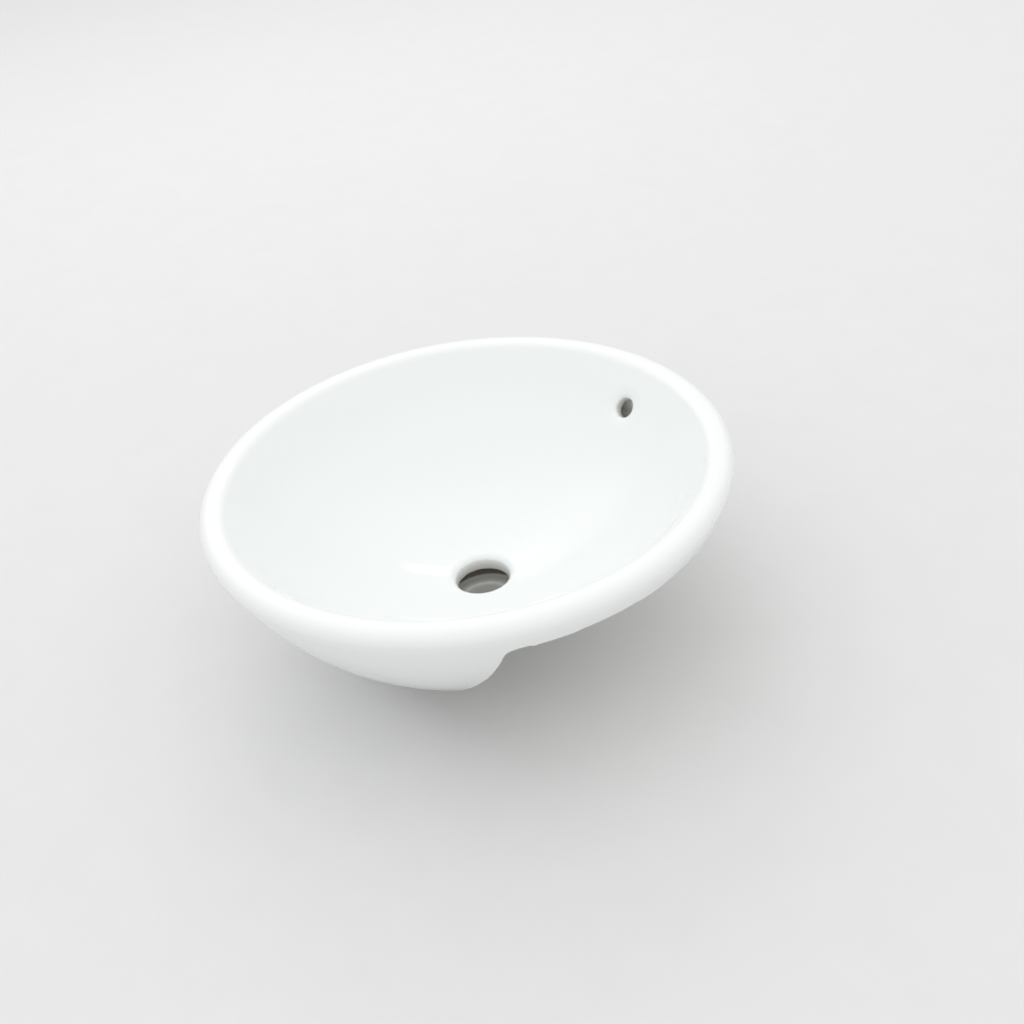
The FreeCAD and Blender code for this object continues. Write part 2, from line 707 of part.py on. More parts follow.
def anchor_plug(station, angle):
    """The nylon plug pressed into a lug: a collar below, four spreading legs above."""
    body = new_body(f"anchor_plug_{station}")
    shank = ring_sketch(body, "shank", "Sizes.socket_radius - Sizes.plug_gap",
                        "Sizes.stud_radius + Sizes.thread_gap")
    pad(body, "shank_pad", shank, PLUG_LENGTH)
    collar = ring_sketch(body, "collar", "Sizes.collar_radius",
                         "Sizes.stud_radius + Sizes.thread_gap")
    pad(body, "collar_pad", collar, "Sizes.collar_height", reverse=True)
    for name, plane in (("slot_across", "XZ_Plane"), ("slot_along", "YZ_Plane")):
        half = size("plug_slot") / 2
        low = worth(PLUG_LENGTH) - size("plug_slot_length")
        high = worth(PLUG_LENGTH) + half
        sketch = body_sketch(body, name, plane)
        edge = Outline(sketch, (-half, low))
        edge.line(half, low, level="Horizontal")
        edge.hold(x="Sizes.plug_slot / 2", y=f"{PLUG_LENGTH} - Sizes.plug_slot_length")
        edge.line(half, high, level="Vertical")
        edge.line(-half, high, level="Horizontal")
        edge.hold(x="-Sizes.plug_slot / 2")
        edge.line(-half, low, level="Vertical")
        edge.close()
        pocket(body, f"{name}_cut", sketch, "4 * Sizes.socket_radius", middle=True)
    stand_at(body, angle, "-Sizes.lug_depth")
    return body


def stud(station, angle):
    """The threaded stud that hangs out of its plug."""
    body = new_body(f"stud_{station}")
    shaft = pad(body, "shaft_pad", ring_sketch(body, "shaft", "Sizes.stud_radius"),
                "Sizes.stud_length", reverse=True)
    rims = edges_where(shaft, lambda edge, middle, along: edge.Closed)
    dress(body, "PartDesign::Chamfer", "shaft_chamfer", shaft, rims, "Sizes.stud_chamfer")
    stand_at(body, angle, "Sizes.stud_embed - Sizes.lug_depth")
    return body


def clamp(station, angle):
    """The bent steel strip: its inner leg bears on the lug, its outer leg grips from below."""
    body = new_body(f"clamp_{station}")
    tail = -size("clamp_tail")
    tip = size("clamp_reach")
    sheet_metal = size("clamp_sheet")
    web = -size("clamp_leg")
    grip = size("lug_depth") + size("clamp_gap") - size("grip_height")
    sketch = body_sketch(body, "side_view", "XZ_Plane")
    edge = Outline(sketch, (tail, web - sheet_metal))
    edge.line(tip, web - sheet_metal, level="Horizontal")
    edge.hold(x="Sizes.clamp_reach", y="-Sizes.clamp_leg - Sizes.clamp_sheet")
    edge.line(tip, grip, level="Vertical")
    edge.line(tip - sheet_metal, grip, level="Horizontal")
    edge.hold(x="Sizes.clamp_reach - Sizes.clamp_sheet",
              y="Sizes.lug_depth + Sizes.clamp_gap - Sizes.grip_height")
    edge.line(tip - sheet_metal, web, level="Vertical")
    edge.line(tail + sheet_metal, web, level="Horizontal")
    edge.hold(x="Sizes.clamp_sheet - Sizes.clamp_tail", y="-Sizes.clamp_leg")
    edge.line(tail + sheet_metal, 0, level="Vertical")
    edge.line(tail, 0, level="Horizontal")
    edge.hold(x="-Sizes.clamp_tail", y="0")
    edge.line(tail, web - sheet_metal, level="Vertical")
    edge.close()
    strip = pad(body, "strip", sketch, "Sizes.clamp_width", middle=True)

    def across(along):
        return abs(along.y) > 0.9

    inner = edges_where(strip, lambda edge, middle, along: across(along)
                        and abs(middle.z - web) < 0.01)
    bent = dress(body, "PartDesign::Fillet", "inner_bends", strip, inner, "Sizes.clamp_bend")
    outer = edges_where(bent, lambda edge, middle, along: across(along)
                        and abs(middle.z - web + sheet_metal) < 0.01
                        and (abs(middle.x - tail) < 0.01 or abs(middle.x - tip) < 0.01))
    dress(body, "PartDesign::Fillet", "outer_bends", bent, outer,
          "Sizes.clamp_bend + Sizes.clamp_sheet")

    radius = worth(SLOT_RADIUS)
    shift = size("slot_shift")
    opening = body_sketch(body, "slot", "XY_Plane")
    edge = Outline(opening, (-shift, -radius))
    edge.line(shift, -radius, level="Horizontal")
    edge.hold(x="Sizes.slot_shift", y=f"-{SLOT_RADIUS}")
    edge.arc((shift, 0), (shift, radius), True, tangent=True, radius=SLOT_RADIUS)
    edge.line(-shift, radius, tangent=True, level="Horizontal")
    edge.hold(x="-Sizes.slot_shift")
    edge.arc((-shift, 0), (-shift, -radius), True, tangent=True)
    edge.close()
    pocket(body, "slot_cut", opening, "2 * Sizes.clamp_leg + 2 * Sizes.clamp_sheet", middle=True)
    stand_at(body, angle, "-Sizes.lug_depth - Sizes.clamp_gap")
    return body


def washer(station, angle):
    """The flat washer between clamp and wing nut."""
    body = new_body(f"washer_{station}")
    rings = ring_sketch(body, "rings", "Sizes.washer_radius",
                        "Sizes.stud_radius + Sizes.washer_gap")
    pad(body, "disc", rings, "Sizes.washer_height", reverse=True)
    stand_at(body, angle, "-Sizes.lug_depth - Sizes.clamp_gap - Sizes.clamp_leg"
             " - Sizes.clamp_sheet - Sizes.stack_gap")
    return body


def wing_nut(station, angle):
    """The wing nut: a tapered hub and two wings that sweep down and out."""
    body = new_body(f"wing_nut_{station}")
    bore = size("stud_radius") + size("thread_gap")
    top = size("nut_top_radius")
    foot = size("nut_foot_radius")
    height = size("nut_height")
    sketch = body_sketch(body, "hub_section", "XZ_Plane")
    edge = Outline(sketch, (bore, -height))
    edge.line(foot, -height, level="Horizontal")
    edge.hold(x="Sizes.nut_foot_radius", y="-Sizes.nut_height")
    edge.line(top, 0)
    edge.hold(x="Sizes.nut_top_radius", y="0")
    edge.line(bore, 0, level="Horizontal")
    edge.hold(x="Sizes.stud_radius + Sizes.thread_gap")
    edge.line(bore, -height, level="Vertical")
    edge.close()
    hub = body.newObject("PartDesign::Revolution", "hub")
    hub.Profile = sketch
    hub.ReferenceAxis = (sketch, ["V_Axis"])
    hub.Angle = 360

    root = (bore + foot) / 2
    reach = size("wing_reach")
    drop = size("wing_drop")
    plate = size("wing_sheet")
    outline = body_sketch(body, "wing_outline", "XZ_Plane")
    edge = Outline(outline, (root, -height + plate / 2))
    edge.line(reach - 2 * plate, -drop)
    edge.hold(x="Sizes.wing_reach - 2 * Sizes.wing_sheet", y="-Sizes.wing_drop")
    edge.line(reach, -drop, level="Horizontal")
    edge.hold(x="Sizes.wing_reach")
    edge.line(reach, -drop + 2 * plate, level="Vertical")
    edge.hold(y="2 * Sizes.wing_sheet - Sizes.wing_drop")
    edge.line(reach / 2, -plate / 2)
    edge.hold(x="Sizes.wing_reach / 2", y="-Sizes.wing_sheet / 2")
    edge.line(root, -plate / 2, level="Horizontal")
    edge.line(root, -height + plate / 2, level="Vertical")
    edge.close()
    wing = pad(body, "wing", outline, "Sizes.wing_sheet", middle=True)
    wings = body.newObject("PartDesign::Mirrored", "wings")
    wings.Originals = [wing]
    faces = [feature for feature in body.Origin.OriginFeatures if feature.Role == "YZ_Plane"]
    wings.MirrorPlane = (faces[0], [""])
    body.Tip = wings
    tips = edges_where(wings, lambda edge, middle, along: abs(along.y) > 0.9
                       and abs(middle.x) > reach - 2.5 * plate)
    dress(body, "PartDesign::Fillet", "wing_corners", wings, tips, "Sizes.wing_round")
    stand_at(body, angle, "-Sizes.lug_depth - Sizes.clamp_gap - Sizes.clamp_leg"
             " - Sizes.clamp_sheet - Sizes.washer_height - 2 * Sizes.stack_gap")
    return body


def sealing_strip():
    """The foam strip in the groove under the rim, open at the front."""
    body = new_body("sealing_strip")
    inner = worth(SEAL_INNER) + size("seal_gap")
    outer = worth(SEAL_INNER) + size("seal_width") - size("seal_gap")
    top = size("seal_depth") - size("seal_gap")
    sketch = body_sketch(body, "section", "XZ_Plane")
    edge = Outline(sketch, (inner, 0))
    edge.line(outer, 0, level="Horizontal")
    edge.hold(x=f"{SEAL_INNER} + Sizes.seal_width - Sizes.seal_gap", y="0")
    edge.line(outer, top, level="Vertical")
    edge.hold(y="Sizes.seal_depth - Sizes.seal_gap")
    edge.line(inner, top, level="Horizontal")
    edge.hold(x=f"{SEAL_INNER} + Sizes.seal_gap")
    edge.line(inner, 0, level="Vertical")
    edge.close()
    strip = body.newObject("PartDesign::Revolution", "strip")
    strip.Profile = sketch
    strip.ReferenceAxis = (sketch, ["V_Axis"])
    bind(strip, Angle="180 + 2 * Sizes.seal_end_angle - 2 * Sizes.seal_gap")
    bind(body, Placement__Rotation__Angle="Sizes.seal_gap - Sizes.seal_end_angle")
    return body


pieces = [basin_body(), sealing_strip()]
for station, angle in STATIONS:
    for make in (anchor_plug, stud, clamp, washer, wing_nut):
        pieces.append(make(station, angle))
doc.recompute()

for thing in doc.Objects:
    if "Invalid" in thing.State or "Error" in thing.State:
        raise RuntimeError(f"{thing.Name} failed: {thing.State}")
for piece in pieces:
    if piece.Shape.isNull() or not piece.Shape.isValid():
        raise RuntimeError(f"{piece.Label} has no valid shape")

os.makedirs("parts", exist_ok=True)
for piece in pieces:
    piece.Shape.exportStep(f"parts/{piece.Label}.step")
    box = piece.Shape.BoundBox
    print(f"{piece.Label}: {len(piece.Shape.Solids)} solid, {piece.Shape.Volume:.1f} mm3, "
          f"z {box.ZMin:.2f} to {box.ZMax:.2f}")
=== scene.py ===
"""The looks of a round semi recessed basin and its fixing set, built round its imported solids.

Everything is in metres in the solids' own frame: Z up, Y to the rear, and the rim's axis on Z.
Sizes inside the classes are in millimetres, as a potter or a toolmaker would write them.
"""

from __future__ import annotations

import logging  # noqa: E402
import math  # noqa: E402
from dataclasses import dataclass, field  # noqa: E402
from enum import Enum  # noqa: E402
from typing import Any  # noqa: E402

import bmesh  # noqa: E402
import bpy  # noqa: E402
import numpy as np  # noqa: E402
from mathutils import Matrix, Vector  # noqa: E402
from mathutils.kdtree import KDTree  # noqa: E402


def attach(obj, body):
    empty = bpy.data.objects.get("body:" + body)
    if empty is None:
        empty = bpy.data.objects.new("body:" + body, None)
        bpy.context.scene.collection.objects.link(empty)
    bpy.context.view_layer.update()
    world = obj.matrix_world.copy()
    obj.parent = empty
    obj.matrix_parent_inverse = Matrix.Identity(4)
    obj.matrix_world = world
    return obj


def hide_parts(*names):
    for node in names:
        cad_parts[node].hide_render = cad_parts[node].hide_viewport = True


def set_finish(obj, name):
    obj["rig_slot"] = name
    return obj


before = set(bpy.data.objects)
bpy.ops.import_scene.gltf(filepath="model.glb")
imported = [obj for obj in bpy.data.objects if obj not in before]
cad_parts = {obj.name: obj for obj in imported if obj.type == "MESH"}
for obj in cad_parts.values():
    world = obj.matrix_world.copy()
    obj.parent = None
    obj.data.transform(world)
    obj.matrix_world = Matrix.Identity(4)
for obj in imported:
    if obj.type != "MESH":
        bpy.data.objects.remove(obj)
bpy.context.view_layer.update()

LOG = logging.getLogger("basin")
MM = 0.001


class Place(Enum):
    """The two fixing places and the angle of each about the rim's axis, in degrees."""

    LEFT = 115.0
    RIGHT = 65.0

    @property
    def word(self) -> str:
        """The place's name as the solids have it."""
        return self.name.lower()


class Slot(Enum):
    """The record's material slots."""

    CHINA = "china"
    FOAM = "foam"
    NYLON = "nylon"
    ZINC = "zinc_plated_steel"


class Mask(Enum):
    """Named areas of the china, kept as a share at each point of its mesh."""

    BARE = "bare_clay"
    BACK = "thin_glaze"
    # Clay in the overflow ring, drawn darker as painted shade.
    DRAIN_CLAY_AND_SHADE = "drain_clay_and_shade"
    EDGE = "edge_glaze"


# ---------------------------------------------------------------- finishes


def linear(code: str) -> tuple[float, float, float, float]:
    """Turns an sRGB hex code to the linear colour that Blender wants.

    Args:
        code: Six hex digits with a leading hash.

    Returns:
        Red, green, blue and an alpha of 1.
    """
    parts = [int(code[i : i + 2], 16) / 255 for i in (1, 3, 5)]
    red, green, blue = (c / 12.92 if c <= 0.04045 else ((c + 0.055) / 1.055) ** 2.4 for c in parts)
    return red, green, blue, 1.0


def add_node(
    tree: bpy.types.NodeTree, kind: str, inputs: dict[str | int, Any] | None = None, **settings: Any
) -> bpy.types.Node:
    """Adds one shader node with its settings and links.

    Args:
        tree: The material's node tree.
        kind: The node's type, without the leading "ShaderNode".
        inputs: What each input socket gets, an output socket to link or a plain value.
        **settings: The node's own properties.

    Returns:
        The new node.
    """
    made = tree.nodes.new("ShaderNode" + kind)
    for name, value in settings.items():
        setattr(made, name, value)
    for socket, value in (inputs or {}).items():
        if isinstance(value, bpy.types.NodeSocket):
            tree.links.new(value, made.inputs[socket])
        else:
            made.inputs[socket].default_value = value
    return made


@dataclass(frozen=True)
class Finish:
    """A material that starts from an empty tree and the place of each point on its object."""

    name: str = "finish"

    def make(self) -> bpy.types.Material:
        """Builds the material.

        Returns:
            The material.
        """
        material = bpy.data.materials.new(self.name)
        material.use_nodes = True
        tree = material.node_tree
        tree.nodes.clear()
        place = add_node(tree, "TexCoord").outputs["Object"]
        shader = self.shade(tree, place)
        add_node(tree, "OutputMaterial", {"Surface": shader.outputs[0]})
        return material

    def shade(self, tree: bpy.types.NodeTree, place: bpy.types.NodeSocket) -> bpy.types.Node:
        """Builds the finish's own nodes.

        Args:
            tree: The material's node tree.
            place: The point's place on its object.

        Returns:
            The shader node.
        """
        raise NotImplementedError


@dataclass(frozen=True)
class GlazedChina(Finish):
    """Vitreous china, slip cast, sprayed with an opaque white glaze and fired.

    The glaze is a glass skin over a white clay, so it mirrors sharply and is white beneath. It
    pulls level while it melts, which leaves a faint orange peel. It runs thin on sharp edges,
    where the clay's warmer tone shows. Behind the cheeks it is only a thin coat, and the seat and
    the outlet's foot are wiped clean so that they don't stick in the kiln. The spray doesn't
    reach up into the overflow ring, where the clay stays dull; it is drawn much darker there as
    painted shade.
    """

    name: str = "glazed_vitreous_china"
    glaze: str = "#EFF2F1"
    thin_glaze: str = "#E4E4DF"
    back_glaze: str = "#DCDDD9"
    bare_clay: str = "#D9D2C4"
    # Painted shade: the clay inside the overflow ring is drawn far darker than clay is.
    drain_clay_and_shade: str = "#77706A"
    kiln_speck: str = "#8C8478"
    roughness: float = 0.05
    back_roughness: float = 0.22
    clay_roughness: float = 0.8
    peel: float = 6.0
    peel_depth: float = 0.0015
    # Fired clay's grain is near a tenth of a millimetre, so it is drawn coarser to show.
    clay_grain: float = 0.7
    clay_depth: float = 0.05
    speck_spacing: float = 26.0
    speck_size: float = 0.25
    speck_core: float = 0.4
    wipe_ease: float = 0.08

    def shade(self, tree: bpy.types.NodeTree, place: bpy.types.NodeSocket) -> bpy.types.Node:
        """Builds the glaze, its thin and wiped areas, its specks and the painted shade in the
        overflow ring.

        Args:
            tree: The material's node tree.
            place: The point's place on its object.

        Returns:
            The shader node.
        """
        bare, back, drain_and_shade, edge = (
            add_node(tree, "Attribute", attribute_name=mask.value).outputs["Fac"] for mask in Mask
        )
        peel = add_node(
            tree, "TexNoise", {"Vector": place, "Scale": 1 / (self.peel * MM), "Detail": 2.0}
        ).outputs[0]
        grain = add_node(
            tree, "TexNoise", {"Vector": place, "Scale": 1 / (self.clay_grain * MM), "Detail": 4.0}
        ).outputs[0]
        # A wet sponge wipes the glaze off unevenly, so the clay's edge wanders.
        uneven = add_node(tree, "Math", {0: peel, 1: 0.5}, operation="SUBTRACT").outputs[0]
        wiped = add_node(tree, "Math", {0: bare, 1: uneven}, operation="ADD").outputs[0]
        ragged = add_node(
            tree, "MapRange", {0: wiped, 1: 0.5 - self.wipe_ease, 2: 0.5 + self.wipe_ease}
        ).outputs[0]
        specks = add_node(
            tree, "TexVoronoi", {"Vector": place, "Scale": 1 / (self.speck_spacing * MM)}
        ).outputs["Distance"]
        reach = self.speck_size / self.speck_spacing
        speck = add_node(
            tree, "MapRange", {0: specks, 1: reach, 2: self.speck_core * reach}
        ).outputs[0]
        colour: Any = linear(self.glaze)
        for amount, tone in (
            (edge, self.thin_glaze),
            (back, self.back_glaze),
            (speck, self.kiln_speck),
            (ragged, self.bare_clay),
            # The overflow ring's dark tone is painted shade.
            (drain_and_shade, self.drain_clay_and_shade),
        ):
            colour = add_node(
                tree, "Mix", {0: amount, 6: colour, 7: linear(tone)}, data_type="RGBA"
            ).outputs[2]
        rough: Any = self.roughness
        for amount, value in (
            (back, self.back_roughness),
            (ragged, self.clay_roughness),
            (drain_and_shade, self.clay_roughness),
        ):
            rough = add_node(tree, "Mix", {0: amount, 2: rough, 3: value}).outputs[0]
        skin = add_node(tree, "Bump", {"Height": peel, "Distance": self.peel_depth * MM})
        clay = add_node(
            tree,
            "Bump",
            {
                "Strength": ragged,
                "Height": grain,
                "Distance": self.clay_depth * MM,
                "Normal": skin.outputs[0],
            },
        )
        return add_node(
            tree,
            "BsdfPrincipled",
            {"Base Color": colour, "Roughness": rough, "IOR": 1.5, "Normal": clay.outputs[0]},
        )


@dataclass(frozen=True)
class ZincPlatedSteel(Finish):
    """Mild steel, pressed or rolled, electroplated with zinc and passivated blue white.

    The plating is a thin bright metal that dulls in clouds, and the rolling marks show through.
    """

    name: str = "zinc_plated_mild_steel"
    zinc: str = "#C3C7CB"
    dull: str = "#9BA1A8"
    roughness: float = 0.26
    cloud: float = 5.0
    # Rolling marks are finer than this on a real clamp, and are drawn coarser to show.
    rolling: float = 0.5
    rolling_depth: float = 0.012

    def shade(self, tree: bpy.types.NodeTree, place: bpy.types.NodeSocket) -> bpy.types.Node:
        """Builds the plating's clouds and the rolling marks under it.

        Args:
            tree: The material's node tree.
            place: The point's place on its object.

        Returns:
            The shader node.
        """
        cloud = add_node(
            tree, "TexNoise", {"Vector": place, "Scale": 1 / (self.cloud * MM), "Detail": 5.0}
        ).outputs[0]
        # Rolling marks run round the rim's axis, so they are stretched along Y.
        stretched = add_node(
            tree, "Mapping", {"Vector": place, "Scale": (1.0, 0.12, 1.0)}
        ).outputs[0]
        marks = add_node(
            tree,
            "TexNoise",
            {"Vector": stretched, "Scale": 1 / (self.rolling * MM), "Detail": 3.0},
        ).outputs[0]
        colour = add_node(
            tree,
            "Mix",
            {0: cloud, 6: linear(self.zinc), 7: linear(self.dull)},
            data_type="RGBA",
        ).outputs[2]
        rough = add_node(
            tree, "MapRange", {0: cloud, 3: self.roughness - 0.08, 4: self.roughness + 0.16}
        ).outputs[0]
        skin = add_node(tree, "Bump", {"Height": marks, "Distance": self.rolling_depth * MM})
        return add_node(
            tree,
            "BsdfPrincipled",
            {
                "Base Color": colour,
                "Metallic": 1.0,
                "Roughness": rough,
                "Normal": skin.outputs[0],
            },
        )


@dataclass(frozen=True)
class MouldedNylon(Finish):
    """Natural nylon 6, injection moulded in a spark eroded tool.

    It is milky and lets a little light in, with a fine even grain from the tool.
    """

    name: str = "injection_moulded_nylon"
    natural: str = "#E4E0D2"
    deep: str = "#D3CCB8"
    roughness: float = 0.42
    cloud: float = 3.0
    # A spark eroded tool leaves pits of about 0.05 mm, so they are drawn coarser to show.
    grain: float = 0.25
    grain_depth: float = 0.012

    def shade(self, tree: bpy.types.NodeTree, place: bpy.types.NodeSocket) -> bpy.types.Node:
        """Builds the milky clouds and the tool's grain.

        Args:
            tree: The material's node tree.
            place: The point's place on its object.

        Returns:
            The shader node.
        """
        cloud = add_node(
            tree, "TexNoise", {"Vector": place, "Scale": 1 / (self.cloud * MM), "Detail": 3.0}
        ).outputs[0]
        grain = add_node(
            tree, "TexNoise", {"Vector": place, "Scale": 1 / (self.grain * MM), "Detail": 2.0}
        ).outputs[0]
        colour = add_node(
            tree,
            "Mix",
            {0: cloud, 6: linear(self.natural), 7: linear(self.deep)},
            data_type="RGBA",
        ).outputs[2]
        skin = add_node(tree, "Bump", {"Height": grain, "Distance": self.grain_depth * MM})
        return add_node(
            tree,
            "BsdfPrincipled",
            {
                "Base Color": colour,
                "Roughness": self.roughness,
                "Subsurface Weight": 0.3,
                "Subsurface Radius": (0.0015, 0.0013, 0.001),
                "Normal": skin.outputs[0],
            },
        )


@dataclass(frozen=True)
class ClosedCellFoam(Finish):
    """Closed cell polyethylene foam, extruded, slit to a strip and laid in its groove.

    The slit sides show cut cells about half a millimetre across, dull, with painted shade making
    their pits darker.
    """

    name: str = "closed_cell_foam"
    skin: str = "#55585C"
    # Painted shade: the colour at the bottom of each cell's pit.
    painted_pit_shade: str = "#2B2D30"
    roughness: float = 0.85
    cell: float = 0.55
    cell_depth: float = 0.12

    def shade(self, tree: bpy.types.NodeTree, place: bpy.types.NodeSocket) -> bpy.types.Node:
        """Builds the cut cells, with painted shade in their pits.

        Args:
            tree: The material's node tree.
            place: The point's place on its object.

        Returns:
            The shader node.
        """
        cells = add_node(
            tree, "TexVoronoi", {"Vector": place, "Scale": 1 / (self.cell * MM)}
        ).outputs["Distance"]
        # Each cell is darkened towards its pit as painted shade.
        colour = add_node(
            tree,
            "Mix",
            {0: cells, 6: linear(self.painted_pit_shade), 7: linear(self.skin)},
            data_type="RGBA",
        ).outputs[2]
        dimple = add_node(tree, "Bump", {"Height": cells, "Distance": self.cell_depth * MM})
        return add_node(
            tree,
            "BsdfPrincipled",
            {"Base Color": colour, "Roughness": self.roughness, "Normal": dimple.outputs[0]},
        )


@dataclass(frozen=True)
class StudioPaper(Finish):
    """Matt white background paper, unrolled flat, with a hint of its fibres."""

    name: str = "white_background_paper"
    white: str = "#E0E0E0"
    fibre: str = "#DCDCDC"
    roughness: float = 0.9
    cloud: float = 40.0

    def shade(self, tree: bpy.types.NodeTree, place: bpy.types.NodeSocket) -> bpy.types.Node:
        """Builds the paper's faint clouds.

        Args:
            tree: The material's node tree.
            place: The point's place on its object.

        Returns:
            The shader node.
        """
        cloud = add_node(
            tree, "TexNoise", {"Vector": place, "Scale": 1 / (self.cloud * MM), "Detail": 6.0}
        ).outputs[0]
        colour = add_node(
            tree,
            "Mix",
            {0: cloud, 6: linear(self.white), 7: linear(self.fibre)},
            data_type="RGBA",
        ).outputs[2]
        return add_node(
            tree, "BsdfPrincipled", {"Base Color": colour, "Roughness": self.roughness}
        )


# ---------------------------------------------------------------- meshes


def points_of(mesh: bpy.types.Mesh) -> np.ndarray:
    """Reads a mesh's points.

    Args:
        mesh: The mesh.

    Returns:
        One row of x, y and z for each point, in millimetres.
    """
    flat = np.empty(len(mesh.vertices) * 3, np.float32)
    mesh.vertices.foreach_get("co", flat)
    return flat.reshape(-1, 3).astype(float) / MM


def normals_of(mesh: bpy.types.Mesh) -> np.ndarray:
    """Reads the normals of a mesh's points.

    Args:
        mesh: The mesh.

    Returns:
        One row of x, y and z for each point.
    """
    flat = np.empty(len(mesh.vertices) * 3, np.float32)
    mesh.vertex_normals.foreach_get("vector", flat)
    return flat.reshape(-1, 3).astype(float)


def show(mesh: bpy.types.Mesh) -> bpy.types.Object:
    """Puts a mesh in the scene as a piece of the same name, shaded smooth.

    Args:
        mesh: The mesh.

    Returns:
        The new object.
    """
    mesh.shade_smooth()
    piece = bpy.data.objects.new(mesh.name, mesh)
    bpy.context.scene.collection.objects.link(piece)
    return piece


def welded(node: str) -> bpy.types.Mesh:
    """Copies a solid's mesh and joins the points that its sharp edges hold twice.

    Args:
        node: The CAD node.

    Returns:
        The joined copy.
    """
    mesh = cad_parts[node].data.copy()
    work = bmesh.new()
    work.from_mesh(mesh)
    bmesh.ops.remove_doubles(work, verts=work.verts, dist=1e-6)
    work.to_mesh(mesh)
    work.free()
    return mesh


def soft_mesh(solid: bpy.types.Mesh, name: str, voxel: float, rounds: int) -> bpy.types.Mesh:
    """Remeshes a solid on an even grid and eases its edges, as casting or plating does.

    Args:
        solid: A closed mesh, used up here.
        name: The new mesh's name.
        voxel: The grid in millimetres.
        rounds: How many smoothing passes run.

    Returns:
        The even mesh.
    """
    solid.name = name + "_solid"
    source = show(solid)
    grid = source.modifiers.new("grid", "REMESH")
    grid.mode = "VOXEL"
    grid.voxel_size = voxel * MM
    if rounds:
        ease = source.modifiers.new("ease", "SMOOTH")
        ease.factor = 0.5
        ease.iterations = rounds
    graph = bpy.context.evaluated_depsgraph_get()
    mesh = bpy.data.meshes.new_from_object(source.evaluated_get(graph))
    mesh.name = name
    mesh.materials.clear()
    bpy.data.objects.remove(source)
    bpy.data.meshes.remove(solid)
    return mesh


def seat_piece(piece: bpy.types.Object, node: str, body: str, slot: Slot) -> bpy.types.Object:
    """Lets a piece stand for its CAD node, on the node's body and in its slot.

    Args:
        piece: The piece, already in place.
        node: The CAD node it stands for.
        body: The CAD body it rides on.
        slot: The record's slot it takes its finish from.

    Returns:
        The same piece.
    """
    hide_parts(node)
    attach(piece, body)
    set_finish(piece, slot.value)
    return piece


def share(value: np.ndarray, low: float, high: float) -> np.ndarray:
    """Eases from 0 at low to 1 at high.

    Args:
        value: The numbers to ease.
        low: Where the share is 0.
        high: Where the share is 1.

    Returns:
        The shares.
    """
    t = np.clip((value - low) / (high - low), 0, 1)
    return t * t * (3 - 2 * t)


@dataclass(frozen=True)
class Turned:
    """A part of the china's turned profile, in radius and height.

    A part is an arc about its centre, from start round to end in degrees, or a straight line from
    its centre to its far end, where no radius is given. The open air is on the line's right. A
    rear part is only there behind the cheeks.
    """

    centre: Vector
    radius: float = 0.0
    start: float = 0.0
    end: float = 0.0
    far: Vector | None = None
    hollow: bool = False
    rear: bool = False

    def nearest(self, across: np.ndarray, up: np.ndarray) -> tuple[np.ndarray, np.ndarray]:
        """Finds the nearest place on this part for many points.

        Args:
            across: Each point's radius.
            up: Each point's height.

        Returns:
            The places and the outward directions there, two columns each. A point beyond the
            part's ends gets a place infinitely far away.
        """
        point = np.column_stack([across, up])
        first = np.array(self.centre)
        if self.far is None:
            off = point - first
            out = off / np.maximum(np.linalg.norm(off, axis=1), 1e-9)[:, None]
            turn = np.degrees(np.arctan2(out[:, 1], out[:, 0]))
            outside = (turn < self.start - 0.2) | (turn > self.end + 0.2)
            place = first + out * self.radius
            if self.hollow:
                out = -out
        else:
            run = np.array(self.far) - first
            length = np.linalg.norm(run)
            run /= length
            along = (point - first) @ run
            outside = (along < -0.05) | (along > length + 0.05)
            place = first + along[:, None] * run
            out = np.tile([run[1], -run[0]], (len(point), 1))
        return np.where(outside[:, None], np.inf, place), out


def heading(angle: float) -> Vector:
    """The direction at an angle in degrees, in radius and height."""
    return Vector((math.cos(math.radians(angle)), math.sin(math.radians(angle))))


def angle_of(way: Vector) -> float:
    """The angle of a direction, in degrees."""
    return math.degrees(math.atan2(way.y, way.x))


